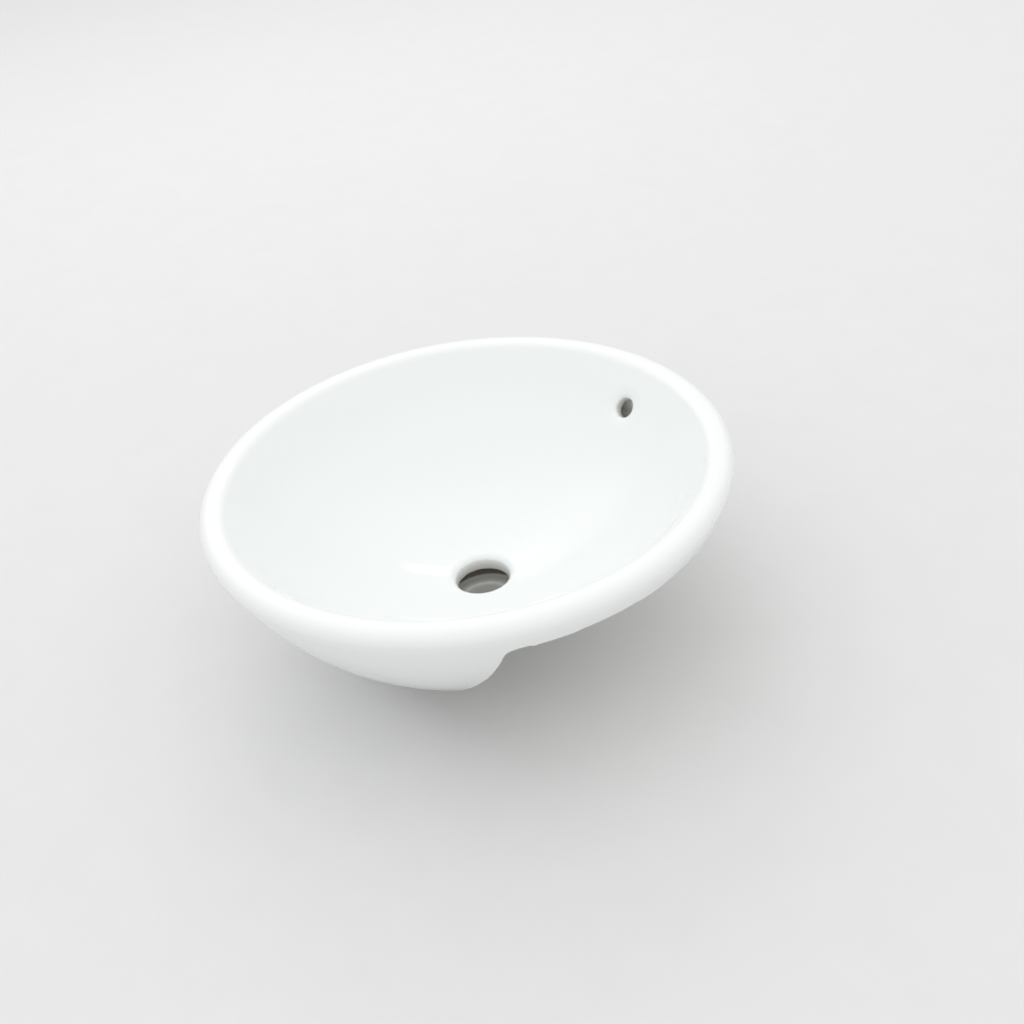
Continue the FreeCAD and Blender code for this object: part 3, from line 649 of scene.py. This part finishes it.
@dataclass
class Basin:
    """The one fired piece: bowl, rolled rim, front shell, waste mouth and overflow.

    The china's skin is remeshed evenly and settled on the turned profile, which is worked out
    here from the driving sizes of the solids.
    """

    china: Finish = field(default_factory=GlazedChina)
    voxel: float = 1.5
    ease_rounds: int = 8
    edge_angle: float = 22.0
    edge_clear: float = 1.5
    edge_done: float = 4.5
    held_within: float = 1.0
    free_beyond: float = 1.8
    same_way: float = 0.5
    rim_radius: float = 227.0
    crest: float = 29.0
    crest_width: float = 4.5
    crest_drop: float = 0.16
    lip: float = 10.0
    side_angle: float = 12.0
    side_round: float = 45.0
    undercut_angle: float = 23.0
    shell_radius: float = 280.0
    shell_from: float = -62.0
    wall_angle: float = 54.0
    dish_radius: float = 230.0
    mouth_depth: float = 128.2
    mouth_round: float = 9.0
    waste_radius: float = 23.0
    ring_radius: float = 35.0
    wiped_from: float = 200.0
    thin_within: float = 0.3
    thin_until: float = 2.0
    ring_ceiling: float = -104.0
    ring_ledge: float = -119.0
    china_wall: float = 10.0
    back_from: float = -80.0
    root_round: float = 6.0
    foot_round: float = 1.5
    cheek_setback: float = 112.0
    band_run_out: float = 20.0
    outlet_foot: float = -141.5
    outlet_round: float = 4.0
    outlet_radius: float = 43.0
    outlet_top: float = -106.0
    overflow_height: float = -4.4
    overflow_clear: float = 12.0
    overflow_ease: float = 3.0
    overflow_radius: float = 9.0
    dip_reach: float = 22.0
    dip_ease: float = 2.0
    dip_depth: float = 1.1

    def build(self) -> list[bpy.types.Object]:
        """Builds the piece and puts it on its body.

        Returns:
            The pieces made.
        """
        sharp = self.sharp_edges(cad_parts["basin_body"].data)
        mesh = soft_mesh(welded("basin_body"), "basin_china", self.voxel, self.ease_rounds)
        gaps = np.array([sharp.find(point)[2] for point in points_of(mesh)])
        self.settle(mesh, gaps)
        self.mark_areas(mesh, gaps)
        return [seat_piece(show(mesh), "basin_body", "basin", Slot.CHINA)]

    def rim_profile(self) -> list[Turned]:
        """Works out the rim, the side below it and the shell.

        The level land on the crest is crowned a little, as a glaze crowns it, so that both lips
        sink by crest_drop and stay against the bowl's wall and the side.

        Returns:
            The parts from the inner lip over the crest and down to the shell.
        """
        lip, side = self.lip, self.side_round
        level = self.crest - lip - self.crest_drop
        outer_start = Vector((self.rim_radius - lip, self.crest - lip))
        side_centre = outer_start + heading(-self.side_angle) * (lip - side)
        reach = math.sqrt((side - lip) ** 2 - (level - side_centre.y) ** 2)
        outer = Vector((side_centre.x + reach, level))
        slope = self.crest_drop / math.tan(math.radians(self.wall_angle))
        inner = Vector((outer_start.x - self.crest_width - slope, level))
        half = (outer.x - inner.x) / 2
        turn = 2 * math.degrees(math.atan(self.crest_drop / half))
        crown = half / math.sin(math.radians(turn))
        middle = Vector(((outer.x + inner.x) / 2, level - crown * math.cos(math.radians(turn))))
        side_foot = side_centre + heading(-self.undercut_angle) * side
        shell_centre = side_foot - heading(-self.undercut_angle) * self.shell_radius
        return [
            Turned(inner, lip, 90 + turn, 90 + self.wall_angle),
            Turned(middle, crown + lip, 90 - turn, 90 + turn),
            Turned(outer, lip, -self.side_angle, 90 - turn),
            Turned(side_centre, side, -self.undercut_angle, -self.side_angle),
            Turned(shell_centre, self.shell_radius, self.shell_from, -self.undercut_angle),
        ]

    def bowl_profile(self) -> list[Turned]:
        """Works out the bowl's face, the waste mouth and what faces away behind them.

        Returns:
            The parts of the bowl, its back, the rim's underside and the outlet.
        """
        down, inward = heading(self.wall_angle - 180), heading(self.wall_angle + 90)
        inner = Vector((self.rim_radius - self.lip - self.crest_width, self.crest - self.lip))
        wall_top = inner + inward * self.lip
        mouth = Vector((self.waste_radius + self.mouth_round, self.crest - self.mouth_depth))
        dish, roll = self.dish_radius, self.mouth_round
        offset = wall_top + inward * dish - mouth
        along = offset.dot(down)
        run = -along - math.sqrt(along**2 - offset.dot(offset) + (dish + roll) ** 2)
        wall_foot = wall_top + down * run
        centre = wall_foot + inward * dish
        behind = inward * -self.china_wall
        root_height = -self.root_round
        back_top = wall_foot + behind
        rise = root_height - inward.y * -self.root_round - back_top.y
        back_end = back_top - down * (rise / -down.y)
        root = back_end - inward * self.root_round
        foot_reach = self.shell_radius - self.foot_round
        shell_centre = self.rim_profile()[-1].centre
        foot_x = shell_centre.x + math.sqrt(foot_reach**2 - (self.foot_round - shell_centre.y) ** 2)
        foot = Vector((foot_x, self.foot_round))
        bottom = self.outlet_foot + self.outlet_round
        return [
            Turned(wall_top, far=wall_foot),
            Turned(centre, dish, angle_of(mouth - centre), self.wall_angle - 90, hollow=True),
            Turned(mouth, roll, angle_of(centre - mouth), 180.0),
            Turned(
                Vector((self.waste_radius, mouth.y)),
                far=Vector((self.waste_radius, self.ring_ceiling)),
            ),
            Turned(
                centre, dish + self.china_wall, self.back_from, self.wall_angle - 90, rear=True
            ),
            Turned(back_top, far=back_end, rear=True),
            Turned(root, self.root_round, 90.0, 90 + self.wall_angle, hollow=True, rear=True),
            Turned(Vector((root.x, 0.0)), far=Vector((foot.x, 0.0)), rear=True),
            Turned(foot, self.foot_round, -90.0, angle_of(foot - shell_centre), rear=True),
            Turned(
                Vector((self.outlet_radius, bottom)),
                far=Vector((self.outlet_radius, self.outlet_top)),
            ),
        ]

    def overflow(self) -> Vector:
        """Finds the middle of the overflow hole on the bowl's face, behind the axis.

        Returns:
            The place, in millimetres.
        """
        dish = self.bowl_profile()[1]
        rise = self.overflow_height - dish.centre.y
        return Vector(
            (0.0, dish.centre.x + math.sqrt(dish.radius**2 - rise**2), self.overflow_height)
        )

    def overflow_facing(self) -> np.ndarray:
        """The direction in which the overflow hole faces, into the bowl."""
        middle, dish = self.overflow(), self.bowl_profile()[1]
        return np.array([0.0, dish.centre.x - middle.y, dish.centre.y - middle.z]) / dish.radius

    def from_overflow(self, points: np.ndarray) -> np.ndarray:
        """Each point's distance from the middle of the overflow hole, in millimetres."""
        return np.linalg.norm(points - np.array(self.overflow()), axis=1)

    def sharp_edges(self, solid: bpy.types.Mesh) -> KDTree:
        """Collects points along the solid's sharp edges.

        Each face of the solid has its own points, with normals true to the surface, so an edge
        between two faces is sharp where the normals on its two sides differ.

        Args:
            solid: The solid's mesh as it was packed.

        Returns:
            The points, in millimetres, ready to search.
        """
        used = [0] * len(solid.edges)
        for loop in solid.loops:
            used[loop.edge_index] += 1
        sides: dict[frozenset[tuple[float, ...]], list[Vector]] = {}
        for face in solid.polygons:
            for corner in face.loop_indices:
                last = corner + 1 == face.loop_start + face.loop_total
                after = face.loop_start if last else corner + 1
                if used[solid.loops[corner].edge_index] > 1:
                    continue
                pair = (solid.loops[i].vertex_index for i in (corner, after))
                ends = (solid.vertices[i].co / MM for i in pair)
                key = frozenset(tuple(round(v, 3) for v in end) for end in ends)
                way = solid.corner_normals[corner].vector + solid.corner_normals[after].vector
                sides.setdefault(key, []).append(way)
        found = []
        for key, ways in sides.items():
            if len(ways) == 2 and len(key) == 2:
                if ways[0].angle(ways[1], 0.0) > math.radians(self.edge_angle):
                    a, b = (Vector(end) for end in key)
                    steps = max(1, math.ceil((b - a).length))
                    found += [a.lerp(b, i / steps) for i in range(steps + 1)]
        tree = KDTree(len(found))
        for number, place in enumerate(found):
            tree.insert(place, number)
        tree.balance()
        return tree

    def nearest_parts(
        self, points: np.ndarray, normals: np.ndarray, spoke: np.ndarray, across: np.ndarray
    ) -> tuple[np.ndarray, np.ndarray, np.ndarray]:
        """Finds, for each point, the nearest place on the turned profile that faces its way.

        Args:
            points: The points in millimetres.
            normals: Each point's normal.
            spoke: Each point's direction from the rim's axis, in plan.
            across: Each point's distance from the rim's axis.

        Returns:
            The distances, the places and the outward directions, the last two in space. A point
            with no such place keeps its own, infinitely far away.
        """
        facing = np.column_stack([(normals[:, :2] * spoke).sum(1), normals[:, 2]])
        here = np.column_stack([across, points[:, 2]])
        best = np.full(len(points), np.inf)
        place, out = here.copy(), facing.copy()
        for part in self.rim_profile() + self.bowl_profile():
            spot, away = part.nearest(across, points[:, 2])
            gap = np.linalg.norm(spot - here, axis=1)
            gap[(away * facing).sum(1) < self.same_way] = np.inf
            if part.rear:
                gap[points[:, 1] < self.band_run_out - self.cheek_setback] = np.inf
            closer = gap < best
            best[closer], place[closer], out[closer] = gap[closer], spot[closer], away[closer]
        target = np.column_stack([spoke * place[:, :1], place[:, 1:]])
        lean = np.column_stack([spoke * out[:, :1], out[:, 1:]])
        return best, target, lean

    def settle(self, mesh: bpy.types.Mesh, gaps: np.ndarray) -> None:
        """Settles the turned surfaces exactly on their profile, and leaves edges eased.

        Args:
            mesh: The even mesh, changed here.
            gaps: Each point's distance from the solid's sharp edges, in millimetres.
        """
        points = points_of(mesh)
        across = np.maximum(np.hypot(points[:, 0], points[:, 1]), 1e-6)
        spoke = points[:, :2] / across[:, None]
        best, target, lean = self.nearest_parts(points, normals_of(mesh), spoke, across)
        held = 1 - share(np.where(np.isfinite(best), best, 1e3), self.held_within, self.free_beyond)
        held *= share(gaps, self.edge_clear, self.edge_done)
        hole = self.from_overflow(points)
        held *= share(hole, self.overflow_clear, self.overflow_clear + self.overflow_ease)
        points += held[:, None] * (target - points)
        # The china dips softly into the overflow hole, and bends its own normals there.
        dip = self.dip_depth * (1 - share(hole, self.overflow_radius, self.dip_reach))
        points -= dip[:, None] * self.overflow_facing()
        held *= share(hole, self.dip_reach, self.dip_reach + self.dip_ease)
        mesh.vertices.foreach_set("co", (points * MM).astype(np.float32).ravel())
        mesh.update()
        blended = normals_of(mesh) * (1 - held[:, None]) + lean * held[:, None]
        blended /= np.maximum(np.linalg.norm(blended, axis=1), 1e-9)[:, None]
        mesh.shade_smooth()
        mesh.normals_split_custom_set_from_vertices(blended.tolist())

    def mark_areas(self, mesh: bpy.types.Mesh, gaps: np.ndarray) -> None:
        """Marks where the glaze is wiped off, runs thin or doesn't reach, and where shade is painted
        in the overflow ring.

        Args:
            mesh: The settled mesh, changed here.
            gaps: Each point's distance from the solid's sharp edges, in millimetres.
        """
        points = points_of(mesh)
        across = np.hypot(points[:, 0], points[:, 1])
        down = share(-normals_of(mesh)[:, 2], 0.6, 0.9)
        rim_foot = self.bowl_profile()[-2].centre.x
        seat = down * (1 - share(np.abs(points[:, 2]), 0.6, 1.4))
        seat *= share(across, self.wiped_from, self.wiped_from + 3)
        seat *= 1 - share(across, rim_foot - 2, rim_foot + 0.5)
        foot = down * (1 - share(np.abs(points[:, 2] - self.outlet_foot), 0.6, 1.6))
        behind = share(points[:, 1], 1 - self.cheek_setback, 4 - self.cheek_setback)
        below = 1 - share(points[:, 2], 0.2, 1.0)
        # The overflow ring's inside: dull clay, and painted shade that darkens it.
        inside = 1 - share(across, self.ring_radius + 1, self.ring_radius + 2)
        drain_and_shade = inside * (1 - share(points[:, 2], self.ring_ceiling - 1, self.ring_ceiling + 0.5))
        drain_and_shade *= share(points[:, 2], self.ring_ledge + 0.8, self.ring_ledge + 2)
        edge = 1 - share(gaps, self.thin_within, self.thin_until)
        masks = {
            Mask.BARE: np.maximum(seat, foot),
            Mask.BACK: behind * below * self.behind_bowl(points, across),
            Mask.DRAIN_CLAY_AND_SHADE: drain_and_shade,
            Mask.EDGE: edge * share(self.from_overflow(points), 20, 24),
        }
        for mask, value in masks.items():
            layer = mesh.attributes.new(mask.value, "FLOAT", "POINT")
            layer.data.foreach_set("value", value.astype(np.float32))

    def behind_bowl(self, points: np.ndarray, across: np.ndarray) -> np.ndarray:
        """Tells the bowl's back from its own face.

        Args:
            points: The points in millimetres.
            across: Each point's distance from the rim's axis.

        Returns:
            0 on the bowl's face, 1 behind its wall.
        """
        dish = self.bowl_profile()[1]
        reach = np.hypot(across - dish.centre.x, points[:, 2] - dish.centre.y)
        return (reach > dish.radius + 3).astype(float)

    def dress(self, pieces: list[bpy.types.Object]) -> None:
        """Gives the china its glaze.

        Args:
            pieces: What build() made.
        """
        for piece in pieces:
            piece.data.materials.append(self.china.make())


@dataclass
class SealingStrip:
    """The foam strip laid in the groove under the rim, open at the front."""

    foam: Finish = field(default_factory=ClosedCellFoam)
    inner: float = 208.75
    outer: float = 213.25
    top: float = 1.75
    side_low: float = 0.75
    side_high: float = 1.25
    bevel: float = 0.12
    crown: float = 0.22
    crown_steps: int = 12
    corner: float = 0.5
    tuck: float = 0.985
    sag: float = 0.12
    start: float = -25.75
    sweep: float = 231.5
    steps: int = 360

    def section(self) -> list[tuple[float, float]]:
        """Draws the strip's section: flat above where it is stuck, crowned and soft below.

        Returns:
            The section's points in radius and height.
        """
        half = (self.outer - self.inner) / 2
        middle = (self.inner + self.outer) / 2
        below = []
        for i in range(self.crown_steps + 1):
            u = -1 + 2 * i / self.crown_steps
            rise = self.crown * abs(u) ** 2.5 + self.corner * max(0.0, abs(u) - 0.8) * 2
            below.append((middle + half * u * (self.tuck if abs(u) == 1 else 1), rise))
        return below + [
            (self.outer, self.side_low),
            (self.outer, self.side_high),
            (self.outer - self.bevel, self.top),
            (middle, self.top),
            (self.inner + self.bevel, self.top),
            (self.inner, self.side_high),
            (self.inner, self.side_low),
        ]

    def build(self) -> list[bpy.types.Object]:
        """Sweeps the section round the groove and puts the strip on its body.

        Returns:
            The pieces made.
        """
        section = self.section()
        count = len(section)
        middle = (self.inner + self.outer) / 2
        verts, faces = [], []
        for i in range(self.steps + 1):
            turn = math.radians(self.start + self.sweep * i / self.steps)
            # Laid by hand, the strip's underside is never quite level or even.
            ease = self.sag * (0.5 + 0.5 * math.sin(9.3 * turn) * math.cos(23.1 * turn + 1.2))
            for radius, height in section:
                lift = ease * (1 - height / self.top)
                spot = middle + (radius - middle) * (1 - 0.25 * lift)
                verts.append(
                    (spot * math.cos(turn) * MM, spot * math.sin(turn) * MM, (height + lift) * MM)
                )
            if i:
                low, high = (i - 1) * count, i * count
                for j in range(count):
                    k = (j + 1) % count
                    faces.append((low + j, high + j, high + k, low + k))
        faces.append(tuple(range(count)))
        faces.append(tuple(reversed(range(self.steps * count, (self.steps + 1) * count))))
        mesh = bpy.data.meshes.new("foam_strip")
        mesh.from_pydata(verts, [], faces)
        face_outward(mesh)
        piece = seat_piece(show(mesh), "sealing_strip", "basin", Slot.FOAM)
        return [piece]

    def dress(self, pieces: list[bpy.types.Object]) -> None:
        """Gives the strip its foam.

        Args:
            pieces: What build() made.
        """
        for piece in pieces:
            piece.data.materials.append(self.foam.make())


def face_outward(mesh: bpy.types.Mesh) -> None:
    """Joins double points of a closed mesh, closes its holes and turns its faces outward.

    Args:
        mesh: The mesh, changed here.
    """
    work = bmesh.new()
    work.from_mesh(mesh)
    bmesh.ops.remove_doubles(work, verts=work.verts, dist=1e-7)
    bmesh.ops.dissolve_degenerate(work, edges=work.edges, dist=1e-7)
    open_edges = [edge for edge in work.edges if edge.is_boundary]
    if open_edges:
        bmesh.ops.holes_fill(work, edges=open_edges)
    bmesh.ops.recalc_face_normals(work, faces=work.faces)
    work.to_mesh(mesh)
    work.free()


@dataclass
class FixingSet:
    """One clamp on its stud: nylon plug, M6 stud, bent clamp, washer and wing nut."""

    place: Place
    steel: bpy.types.Material
    nylon: bpy.types.Material
    circle: float = 192.0
    stud_top: float = -15.0
    stud_foot: float = -91.0
    stud_radius: float = 3.0
    core_radius: float = 2.39
    pitch: float = 1.0
    chamfer: float = 0.8
    turn_steps: int = 48
    washer_inner: float = 3.2
    washer_outer: float = 9.0
    washer_top: float = -44.05
    washer_foot: float = -45.65
    punch_round: float = 0.35
    burr: float = 0.06
    roll_steps: int = 4
    washer_steps: int = 96
    plug_voxel: float = 0.28
    clamp_voxel: float = 0.4
    nut_voxel: float = 0.32

    def axis(self) -> Vector:
        """The stud's place in plan, in millimetres."""
        turn = math.radians(self.place.value)
        return Vector((self.circle * math.cos(turn), self.circle * math.sin(turn), 0))

    def build(self) -> list[bpy.types.Object]:
        """Builds the set and puts each piece on its body.

        Returns:
            The pieces made.
        """
        word = self.place.word
        softened = (
            ("anchor_plug", "nylon_plug", "basin", self.plug_voxel, 2, Slot.NYLON),
            ("clamp", "steel_clamp", f"{word}_clamp", self.clamp_voxel, 2, Slot.ZINC),
            ("wing_nut", "cast_wing_nut", f"{word}_wing_nut", self.nut_voxel, 3, Slot.ZINC),
        )
        made = []
        for node, name, body, voxel, rounds, slot in softened:
            mesh = soft_mesh(welded(f"{node}_{word}"), f"{name}_{word}", voxel, rounds)
            made.append(seat_piece(show(mesh), f"{node}_{word}", body, slot))
        stud = show(self.threaded_stud())
        made.append(seat_piece(stud, f"stud_{word}", "basin", Slot.ZINC))
        washer = show(self.punched_washer())
        made.append(seat_piece(washer, f"washer_{word}", f"{word}_washer", Slot.ZINC))
        return made

    def threaded_stud(self) -> bpy.types.Mesh:
        """Rolls the M6 thread as one helix from end to end.

        Returns:
            The closed mesh.
        """
        eighth = self.pitch / 8
        # One turn of the thread in section: flank up, crest, flank down, root.
        section = (
            (0.0, self.core_radius),
            (2.5 * eighth, self.stud_radius),
            (3.5 * eighth, self.stud_radius),
            (6.0 * eighth, self.core_radius),
        )
        turns = math.ceil((self.stud_top - self.stud_foot) / self.pitch) + 2
        spot = self.axis()
        verts = []
        for i in range(turns * self.turn_steps + 1):
            turn = 2 * math.pi * i / self.turn_steps
            base = self.stud_foot + self.pitch * (i / self.turn_steps - 1)
            for rise, radius in section:
                height = min(max(base + rise, self.stud_foot), self.stud_top)
                end = min(height - self.stud_foot, self.stud_top - height)
                radius = min(radius, self.stud_radius - self.chamfer + end)
                verts.append(
                    (
                        (spot.x + radius * math.cos(turn)) * MM,
                        (spot.y + radius * math.sin(turn)) * MM,
                        height * MM,
                    )
                )
        rows = len(section)
        ring = rows * self.turn_steps
        faces = []
        for i in range(turns * self.turn_steps):
            for j in range(rows):
                a = i * rows + j
                b = a + rows
                # The section's last point meets the next turn's first.
                c, d = (a + 1, b + 1) if j < rows - 1 else (a + 1 - rows + ring, b + 1 - rows + ring)
                if max(c, d) < len(verts):
                    faces.append((a, b, d, c))
        mesh = bpy.data.meshes.new(f"threaded_stud_{self.place.word}")
        mesh.from_pydata(verts, [], faces)
        face_outward(mesh)
        return mesh

    def punched_washer(self) -> bpy.types.Mesh:
        """Turns the washer with the punch's roll on its upper edge.

        Returns:
            The closed mesh.
        """
        soft = self.punch_round
        top, foot = self.washer_top, self.washer_foot
        inner, outer = self.washer_inner, self.washer_outer
        burr = self.burr
        section = [(inner, foot), (outer - burr, foot), (outer, foot + burr)]
        for centre, first in ((outer - soft, 0), (inner + soft, 90)):
            for i in range(self.roll_steps + 1):
                turn = math.radians(first + 90 * i / self.roll_steps)
                section.append(
                    (centre + soft * math.cos(turn), top - soft + soft * math.sin(turn))
                )
        name = f"punched_washer_{self.place.word}"
        return turned_ring(name, section, self.axis(), self.washer_steps)

    def dress(self, pieces: list[bpy.types.Object]) -> None:
        """Gives each piece its metal or plastic.

        Args:
            pieces: What build() made.
        """
        for piece in pieces:
            nylon = piece["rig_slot"] == Slot.NYLON.value
            piece.data.materials.append(self.nylon if nylon else self.steel)


def turned_ring(
    name: str, section: list[tuple[float, float]], spot: Vector, steps: int
) -> bpy.types.Mesh:
    """Turns a closed section about an upright axis.

    Args:
        name: The mesh's name.
        section: The section's points in radius and height, in millimetres.
        spot: The axis in plan, in millimetres.
        steps: How many steps make the full turn.

    Returns:
        The closed mesh.
    """
    count = len(section)
    verts = [
        (
            (spot.x + radius * math.cos(2 * math.pi * i / steps)) * MM,
            (spot.y + radius * math.sin(2 * math.pi * i / steps)) * MM,
            height * MM,
        )
        for i in range(steps)
        for radius, height in section
    ]
    faces = [
        (
            i * count + j,
            (i + 1) % steps * count + j,
            (i + 1) % steps * count + (j + 1) % count,
            i * count + (j + 1) % count,
        )
        for i in range(steps)
        for j in range(count)
    ]
    mesh = bpy.data.meshes.new(name)
    mesh.from_pydata(verts, [], faces)
    face_outward(mesh)
    return mesh


# ---------------------------------------------------------------- studio


@dataclass(frozen=True)
class Softbox:
    """One rectangular light and where it hangs, seen from the basin.

    Its cloth is brightest in the middle and fades out to its edges, so that the glaze mirrors it
    as a soft glow with no corners.
    """

    name: str
    azimuth: float
    height: float
    width_angle: float
    height_angle: float
    glow: float
    away: float = 2.4
    fade: float = 0.45

    def hang(self) -> None:
        """Hangs the light so that it faces the basin."""
        turn, rise = math.radians(self.azimuth), math.radians(self.height)
        back = Vector(
            (math.sin(turn) * math.cos(rise), -math.cos(turn) * math.cos(rise), math.sin(rise))
        )
        lamp = bpy.data.lights.new(self.name, "AREA")
        lamp.shape = "RECTANGLE"
        lamp.size = 2 * self.away * math.tan(math.radians(self.width_angle) / 2)
        lamp.size_y = 2 * self.away * math.tan(math.radians(self.height_angle) / 2)
        # An area light's radiance is its power over pi and its area.
        lamp.energy = self.glow * math.pi * lamp.size * lamp.size_y
        self.soften(lamp)
        box = bpy.data.objects.new(self.name, lamp)
        box.location = back * self.away
        box.rotation_mode = "QUATERNION"
        box.rotation_quaternion = back.to_track_quat("Z", "Y")
        bpy.context.scene.collection.objects.link(box)

    def soften(self, lamp: bpy.types.Light) -> None:
        """Fades the light out towards its edges.

        Args:
            lamp: The light, changed here.
        """
        lamp.use_nodes = True
        tree = lamp.node_tree
        tree.nodes.clear()
        spot = add_node(tree, "NewGeometry").outputs["Parametric"]
        sides = add_node(tree, "SeparateXYZ", {0: spot})
        fades = []
        for side in ("X", "Y"):
            off = add_node(tree, "Math", {0: sides.outputs[side], 1: 0.5}, operation="SUBTRACT")
            far = add_node(tree, "Math", {0: off.outputs[0]}, operation="ABSOLUTE")
            fades.append(
                add_node(
                    tree,
                    "MapRange",
                    {0: far.outputs[0], 1: 0.5, 2: 0.5 - self.fade},
                    interpolation_type="SMOOTHSTEP",
                ).outputs[0]
            )
        both = add_node(tree, "Math", {0: fades[0], 1: fades[1]}, operation="MULTIPLY")
        glow = add_node(tree, "Emission", {"Strength": both.outputs[0]})
        add_node(tree, "OutputLight", {"Surface": glow.outputs[0]})


@dataclass
class Studio:
    """The floor, the lights and the camera."""

    paper: Finish = field(default_factory=StudioPaper)
    floor_height: float = -141.5
    floor_side: float = 60000.0
    horizon_glow: float = 0.68
    zenith_glow: float = 1.24
    mirror_steps: int = 16
    lens: float = 50.312
    eye: tuple[float, float, float] = (862.17, -554.72, 679.01)
    right: tuple[float, float, float] = (0.634688, 0.762457, -0.125817)
    down: tuple[float, float, float] = (0.35478, -0.43214, -0.829087)
    ahead: tuple[float, float, float] = (-0.686514, 0.481574, -0.544779)
    shift: tuple[float, float] = (-0.000987, -0.041127)
    softboxes: tuple[Softbox, ...] = (
        Softbox("large_window", -105.0, 38.0, 70.0, 50.0, 0.5),
        Softbox("long_strip", -125.0, 40.0, 34.0, 6.0, 5.0, fade=0.3),
        Softbox("right_fill", 55.0, 20.0, 80.0, 50.0, 0.22),
    )

    def build(self) -> None:
        """Places the camera, the floor and the lights."""
        self.camera()
        self.floor()
        for softbox in self.softboxes:
            softbox.hang()
        world = bpy.data.worlds.new("white_room")
        world.use_nodes = True
        tree = world.node_tree
        tree.nodes.clear()
        way = add_node(tree, "SeparateXYZ", {0: add_node(tree, "TexCoord").outputs["Generated"]})
        glow = add_node(
            tree,
            "MapRange",
            {0: way.outputs["Z"], 3: self.horizon_glow, 4: self.zenith_glow},
        ).outputs[0]
        sky = add_node(tree, "Background", {"Color": linear("#FFFFFF"), "Strength": glow})
        add_node(tree, "OutputWorld", {"Surface": sky.outputs[0]})
        scene = bpy.context.scene
        scene.world = world
        scene.view_settings.view_transform = "Standard"
        # Light that grazes the bowl's wall takes many mirror steps, and cut short it goes dark.
        scene.cycles.glossy_bounces = scene.cycles.max_bounces = self.mirror_steps

    def floor(self) -> None:
        """Lays the paper under the outlet's foot."""
        half = self.floor_side * MM / 2
        height = self.floor_height * MM
        mesh = bpy.data.meshes.new("studio_floor")
        corners = [(-half, -half), (half, -half), (half, half), (-half, half)]
        mesh.from_pydata([(x, y, height) for x, y in corners], [], [(0, 1, 2, 3)])
        mesh.materials.append(self.paper.make())
        show(mesh)

    def camera(self) -> None:
        """Puts the camera at the picture's own angle."""
        data = bpy.data.cameras.new("studio_camera")
        data.lens = self.lens
        data.sensor_width = 36.0
        data.shift_x, data.shift_y = self.shift
        eye = bpy.data.objects.new("studio_camera", data)
        axes = Matrix((self.right, [-v for v in self.down], [-v for v in self.ahead])).transposed()
        eye.matrix_world = Matrix.Translation(Vector(self.eye) * MM) @ axes.to_4x4()
        bpy.context.scene.collection.objects.link(eye)
        bpy.context.scene.camera = eye


def main() -> None:
    """Builds and dresses each part in order and reports its pieces."""
    logging.basicConfig(level=logging.INFO, format="%(message)s")
    Studio().build()
    steel, nylon = ZincPlatedSteel().make(), MouldedNylon().make()
    parts: list[Any] = [Basin(), SealingStrip()]
    parts += [FixingSet(place, steel, nylon) for place in Place]
    for part in parts:
        pieces = part.build()
        part.dress(pieces)
        for piece in pieces:
            LOG.info("%s: %d faces", piece.name, len(piece.data.polygons))


if __name__ == "__main__":
    main()
